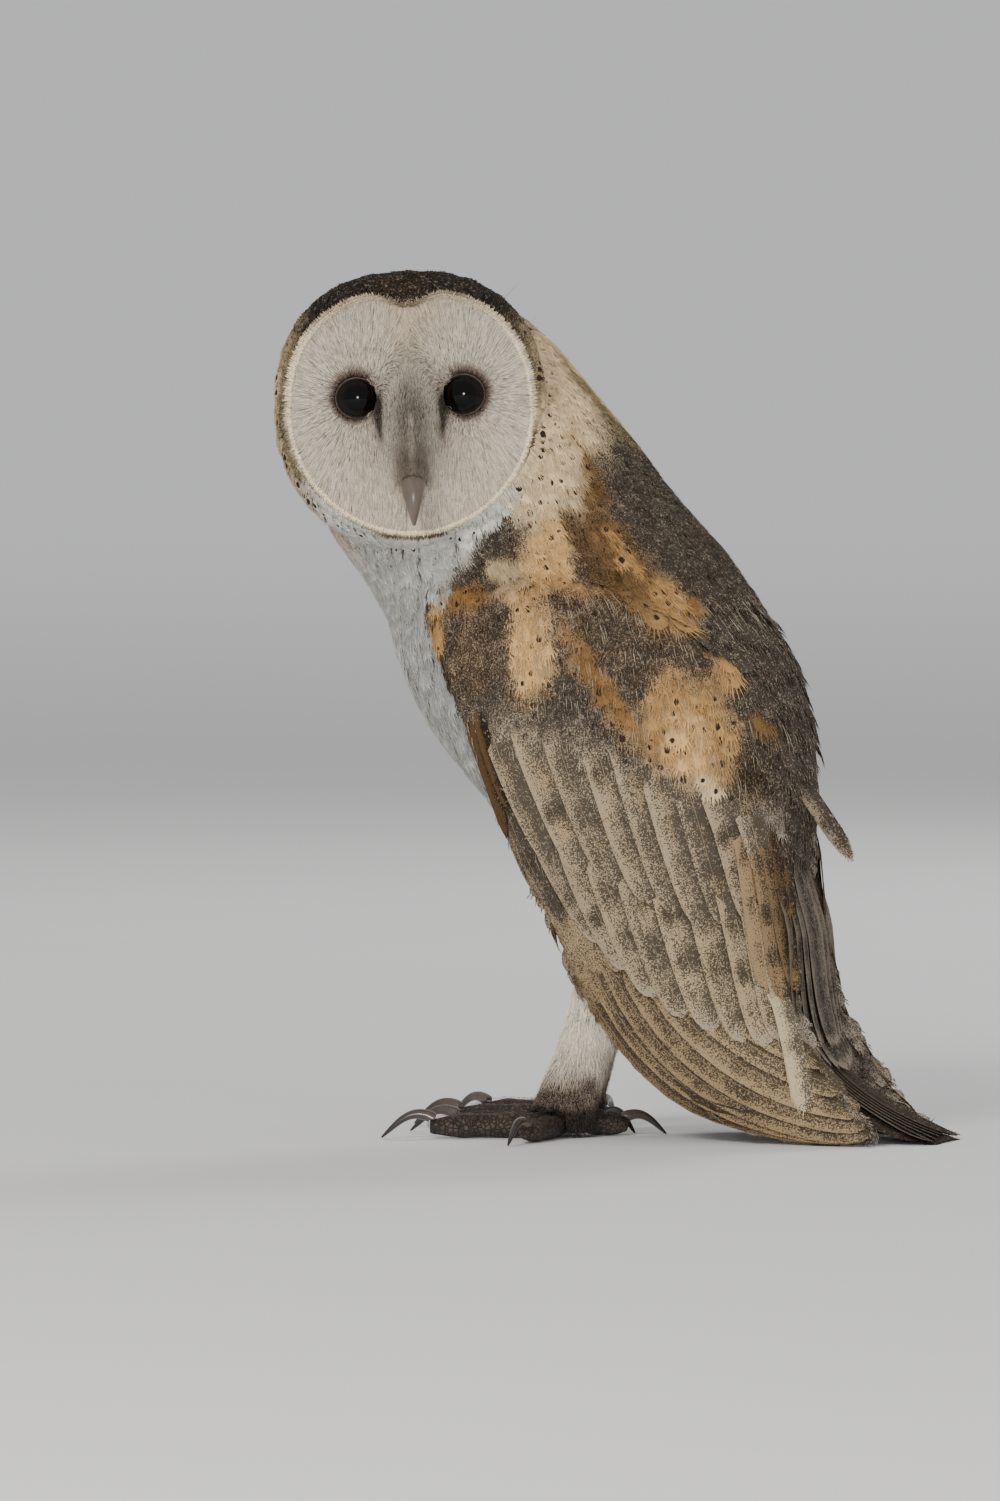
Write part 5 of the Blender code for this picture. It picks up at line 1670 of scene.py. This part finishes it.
def refined(node, material, tones):
    """A smooth, finer copy of a solid that stands for it; tones is a function of its points."""
    bm = bmesh.new()
    bm.from_mesh(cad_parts[node].data)
    bmesh.ops.remove_doubles(bm, verts=bm.verts, dist=2 * WELD)
    bmesh.ops.join_triangles(bm, faces=bm.faces, angle_face_threshold=JOIN_ANGLE,
                              angle_shape_threshold=JOIN_SHAPE)
    points = [v.co.copy() for v in bm.verts]
    faces = [[v.index for v in f.verts] for f in bm.faces]
    bm.free()
    name = node.replace("_", ".") + ".horn"
    obj = plain_object(name, points, faces, material, tones(np.array(points)), HORN_LEVELS)
    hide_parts(node)


def make_horn(materials):
    """Bill and claws."""
    def down_bill(points):
        return smooth(-20 * MM, -40 * MM, to_head(points)[:, 2])
    for node in ("bill_upper", "bill_lower"):
        refined(node, materials["bill"], down_bill)
    for side_name in SIDE_NAMES.values():
        foot = middle("leg_%s_tarsus" % side_name)

        def along_claw(points):
            reach = np.linalg.norm((points - foot)[:, :2], axis=1)
            return (reach - reach.min()) / (reach.max() - reach.min())
        for number in range(1, 5):
            refined("claw_%s_%d" % (side_name, number), materials["claw"], along_claw)


# ---------------------------------------------------------------- studio
def look_at(obj, target):
    direction = Vector(target) - obj.location
    obj.rotation_mode = "QUATERNION"
    obj.rotation_quaternion = direction.to_track_quat("-Z", "Y")


# Lights: name, place from the middle of the owl and size (m), watts, colour, whether eyes and horn
# mirror it.
LIGHTS = (
    ("key", (-1.1, -2.0, 1.5), 0.9, 43.0, (1.0, 0.97, 0.93), False),
    ("fill", (1.6, -2.2, 0.6), 1.2, 10.0, (1.0, 1.0, 1.0), False),
    ("back", (0.9, 1.8, 1.6), 1.0, 26.0, (1.0, 1.0, 1.0), False),
    ("front", (0.12, -3.0, 0.3), 0.5, 31.0, (1.0, 1.0, 1.0), True),
)


def add_light(target, name, offset, size, watts, colour, mirrored):
    data = bpy.data.lights.new(name, "AREA")
    data.shape = "DISK"
    data.size = size
    data.energy = watts
    data.color = colour
    obj = linked(name, data)
    obj.location = target + offset
    obj.visible_glossy = mirrored
    look_at(obj, target)


WORLD_TONE = (0.945, 0.95, 0.96)
WORLD_STRENGTH = 0.62
FRAME_HEIGHT = 0.533            # what the picture's height takes in at the owl, metres
CAMERA_DISTANCE = 3.5
CAMERA_RISE = math.radians(2.0)
SENSOR = 36.0
FLOOR_RADIUS = 60.0
FLOOR_CORNERS = 96
NEAR, FAR = 0.05, 200.0         # what the camera sees, metres
MIDDLE = (-32.0, 0.0, 136.0)    # what the camera and the lights look at, from the bird's origin, mm


def make_studio(material):
    """Pale floor and surroundings, soft lights and the camera."""
    target = ORIGIN + np.array(MIDDLE) * MM
    bm = bmesh.new()
    bmesh.ops.create_circle(bm, cap_ends=True, segments=FLOOR_CORNERS, radius=FLOOR_RADIUS)
    mesh = bpy.data.meshes.new("studio_floor")
    bm.to_mesh(mesh)
    bm.free()
    mesh.materials.append(material)
    floor = linked("studio_floor", mesh)
    world = bpy.data.worlds.new("studio")
    world.use_nodes = True
    background = world.node_tree.nodes["Background"]
    background.inputs["Color"].default_value = (*WORLD_TONE, 1.0)
    background.inputs["Strength"].default_value = WORLD_STRENGTH
    bpy.context.scene.world = world
    for light in LIGHTS:
        add_light(target, *light)
    data = bpy.data.cameras.new("camera")
    data.sensor_width = SENSOR
    data.lens = SENSOR * CAMERA_DISTANCE / FRAME_HEIGHT
    data.clip_start, data.clip_end = NEAR, FAR
    camera = linked("camera", data)
    towards = np.array((0.0, -math.cos(CAMERA_RISE), math.sin(CAMERA_RISE)))
    camera.location = target + towards * CAMERA_DISTANCE
    look_at(camera, target)
    bpy.context.scene.camera = camera


# ---------------------------------------------------------------- the whole owl
BODY_MAP_HEIGHT = 300 * MM      # what the maps of the body and the legs take in
LEG_MAP_HEIGHT = 100 * MM
HEAD_MAP_DEPTH = 45 * MM        # what the map of the head takes in ahead of its centre and behind it
CANDIDATES = 7                  # points strewn for each feather's place, before they are thinned


def head_unwrap(points):
    return unwrapped(points, HEAD, DEPTH, -RISE, -HEAD_MAP_DEPTH, HEAD_MAP_DEPTH)


def body_unwrap(points):
    return unwrapped(points, ORIGIN, UP, FORWARD, 0.0, BODY_MAP_HEIGHT)


def leg_unwrap(points):
    return unwrapped(points, ORIGIN, UP, FORWARD, 0.0, LEG_MAP_HEIGHT)


def spot_sizes(roots, parts):
    """Radius of each contour feather's dark spot in mm, 0 where it has none."""
    tint, speckle = paint(roots, parts)
    white = smooth(0.78, 0.88, tint[:, 2] / tint[:, 0])
    chance = (0.42 * (1 - white) + 0.12 * white) * smooth(0.62, 0.4, speckle)
    chance *= roots[:, 2] > 100 * MM
    size = RNG.uniform(0.7, 1.25, len(roots)) * (1 - 0.35 * white)
    return np.where(RNG.random(len(roots)) < chance, size, 0.0)


def lay_contours(form, material, name, slot, chosen, length, half, spacing, sink, lift, unwrap, scatter):
    """One tract of contour feathers; length, half width, spacing, sink and lift in mm."""
    area = form.areas[chosen[form.faces[:, 0]]].sum()
    candidates = form.strewn(int(area / (spacing * MM) ** 2 * CANDIDATES), chosen)
    roots = candidates[thinned(candidates, spacing * MM)]
    number = len(roots)
    grow = RNG.uniform(0.86, 1.14, number)
    lift = RNG.uniform(0.2, 2 * lift, number) * MM
    spots = spot_sizes(roots, form.at(roots)[3])
    coat = Coat()
    lay_leaves(coat, form, roots, length * MM * grow, half * MM * grow, sink * MM, lift, unwrap, spots,
               scatter)
    coat.build(name, material)


def lay_loose(form, material, name, slot, chosen, count, length, width, sink, lift, unwrap, scatter):
    """Loose barbs over one tract that soften its outline; sizes in mm."""
    coat = Coat()
    roots = form.strewn(count, chosen)
    length = length * MM * RNG.uniform(0.6, 1.2, count)
    lay_barbs(coat, form, roots, length, width * MM, sink * MM, lift * MM, unwrap, scatter, shade=0.12)
    coat.build(name, material)


def lay_body(form, material):
    """Contour feathers of the head, neck, trunk and wing shoulders, and loose barbs over them."""
    along, height = side_view(form.points)
    left = to_body(form.points)[:, 1]
    outward = (form.normals @ LEFT) * np.sign(left)
    inner_wing = (form.parts == WING) & (outward < -0.15)
    across, _, rise = (to_head(form.points) / MM).T
    head = (form.parts == HEAD_PART) | ((form.parts == FACE) & (disc_reach(across, rise) > 0.99))
    upper_wing = (form.parts == WING) & ~inner_wing & (height > covert_line(along) - 3 * MM)
    back = (form.parts == TRUNK) & (form.normals @ FORWARD < -0.1)
    front = (form.parts == TRUNK) & ~back
    tracts = (
        ("head_coat", "head_feathers", head, 6.5, 1.7, 2.15, 2.6, 0.45, head_unwrap, 0.10),
        ("neck_coat", "body_feathers", form.parts == NECK, 10.0, 2.4, 2.75, 3.0, 0.45, body_unwrap, 0.16),
        ("breast_coat", "body_feathers", front, 14.0, 3.2, 3.9, 3.4, 0.6, body_unwrap, 0.16),
        ("back_coat", "body_feathers", back, 19.0, 4.2, 4.6, 3.4, 1.5, body_unwrap, 0.16),
        ("wing_coat", "wing_feathers", upper_wing, 11.5, 3.1, 3.1, 1.8, 0.6, body_unwrap, 0.12),
        ("underwing_coat", "wing_feathers", inner_wing, 9.4, 3.3, 4.7, 1.0, 0.3, body_unwrap, 0.12),
    )
    for tract in tracts:
        lay_contours(form, material, *tract)
    crown = form.parts == HEAD_PART
    below = front | (form.parts == NECK)
    above = back | upper_wing
    soft = (
        ("head_barbs", "head_feathers", crown, 9000, 5.5, 0.11, 2.0, 0.9, head_unwrap, 0.2),
        ("body_plumes", "body_feathers", below, 30000, 9.0, 0.14, 2.5, 1.3, body_unwrap, 0.25),
        ("back_plumes", "body_feathers", above, 12000, 8.0, 0.12, 1.8, 1.1, body_unwrap, 0.22),
    )
    for tract in soft:
        lay_loose(form, material, *tract)


def lay_feet(form, body, material):
    """Plumes of the legs where they are clear of the body, thinning to sparse bristles on the toes."""
    height = form.points[:, 2] / MM
    leg, toes = form.parts == LEG, form.parts == FOOT
    near = [body.tree.find_nearest(Vector(p)) for p in form.points]
    bare = np.array([(Vector(p) - hit[0]).dot(hit[1]) for p, hit in zip(form.points, near)]) > -0.5 * MM
    thigh, shank = leg & (height > 38) & bare, leg & (height > 4) & (height < 42)
    toes = toes & (height > 4)
    soft = (
        ("thigh_plumes", "leg_feathers", thigh, 12000, 8.5, 0.2, 2.0, 2.2, leg_unwrap, 0.35),
        ("shank_plumes", "leg_feathers", shank, 14000, 6.0, 0.16, 1.8, 2.0, leg_unwrap, 0.35),
        ("toe_bristles", "leg_feathers", toes, 2600, 2.2, 0.06, 0.2, 0.4, leg_unwrap, 0.25),
    )
    for tract in soft:
        lay_loose(form, material, *tract)


FINE_SHAFTS = 2400
# Two that stand off the crown: their across, depth and rise from the head's centre (mm), how far each
# leans across and up, and how long they are (mm).
CROWN_SHAFTS = ((31.0, 40.0), (-14.0, -8.0), (36.0, 26.0))
CROWN_LEANS = ((0.9, 0.35), (0.9, 1.0))
CROWN_SHAFT_LENGTH = 9.0


def lay_whiskers(form, material):
    """Fine pale shaft ends that lie over the mantle and wing, and two that stand off the crown."""
    coat = Coat()
    along, height = side_view(form.points)
    chosen = np.isin(form.parts, (TRUNK, WING)) & (height > 100 * MM) & (along > -20 * MM)
    roots = form.strewn(FINE_SHAFTS, chosen)

    def pale(points):
        return np.tile(TONES["pale_tip"], (len(points), 1)), 0.0
    lay_barbs(coat, form, roots, RNG.uniform(4, 12, FINE_SHAFTS) * MM, 0.1 * MM, 0.5 * MM, 1.3 * MM,
              body_unwrap, scatter=0.15, shade=0.14, tint=pale)
    root, normal, _, _ = form.at(from_head(*np.array(CROWN_SHAFTS) * MM))
    lean = unit(np.outer(CROWN_LEANS[0], ACROSS) + np.outer(CROWN_LEANS[1], RISE))
    tip = root + (lean * 0.8 + normal * 0.3) * CROWN_SHAFT_LENGTH * MM
    mid = (root + tip) / 2 + normal * 0.4 * MM
    add_blades(coat, root - normal * MM, mid, tip, unit(np.cross(lean, normal)), normal, 0.16 * MM,
               *pale(root), body_unwrap(root))
    coat.build("fine_shafts", material)


def make_owl():
    materials = {"plumage": plumage_material(), "toe": toe_material(), "eye": eye_material(),
                 "lid": lid_material(), "floor": floor_material(),
                 "bill": horn_material("owl_bill", tone(76, 66, 57), tone(92, 80, 69), 0.36),
                 "claw": horn_material("owl_claw", tone(74, 64, 56), tone(20, 18, 18), 0.25)}
    body = Form(joined_form("body_form", BODY_NODES, BODY_VOXEL))
    foot = Form(joined_form("foot_form", FOOT_NODES, FOOT_VOXEL))
    make_skin(body, foot, materials)
    plumage = materials["plumage"]
    lay_body(body, plumage)
    lay_feet(foot, body, plumage)
    lay_whiskers(body, plumage)
    for side in SIDE_NAMES:
        lay_wing(body, side, plumage)
        lay_face(body, side, plumage)
        make_lids(side, materials["lid"])
        make_eye(side, materials["eye"])
    lay_tail(body, plumage)
    lay_rump(plumage)
    lay_rim(body, plumage)
    make_horn(materials)
    make_studio(materials["floor"])


make_owl()
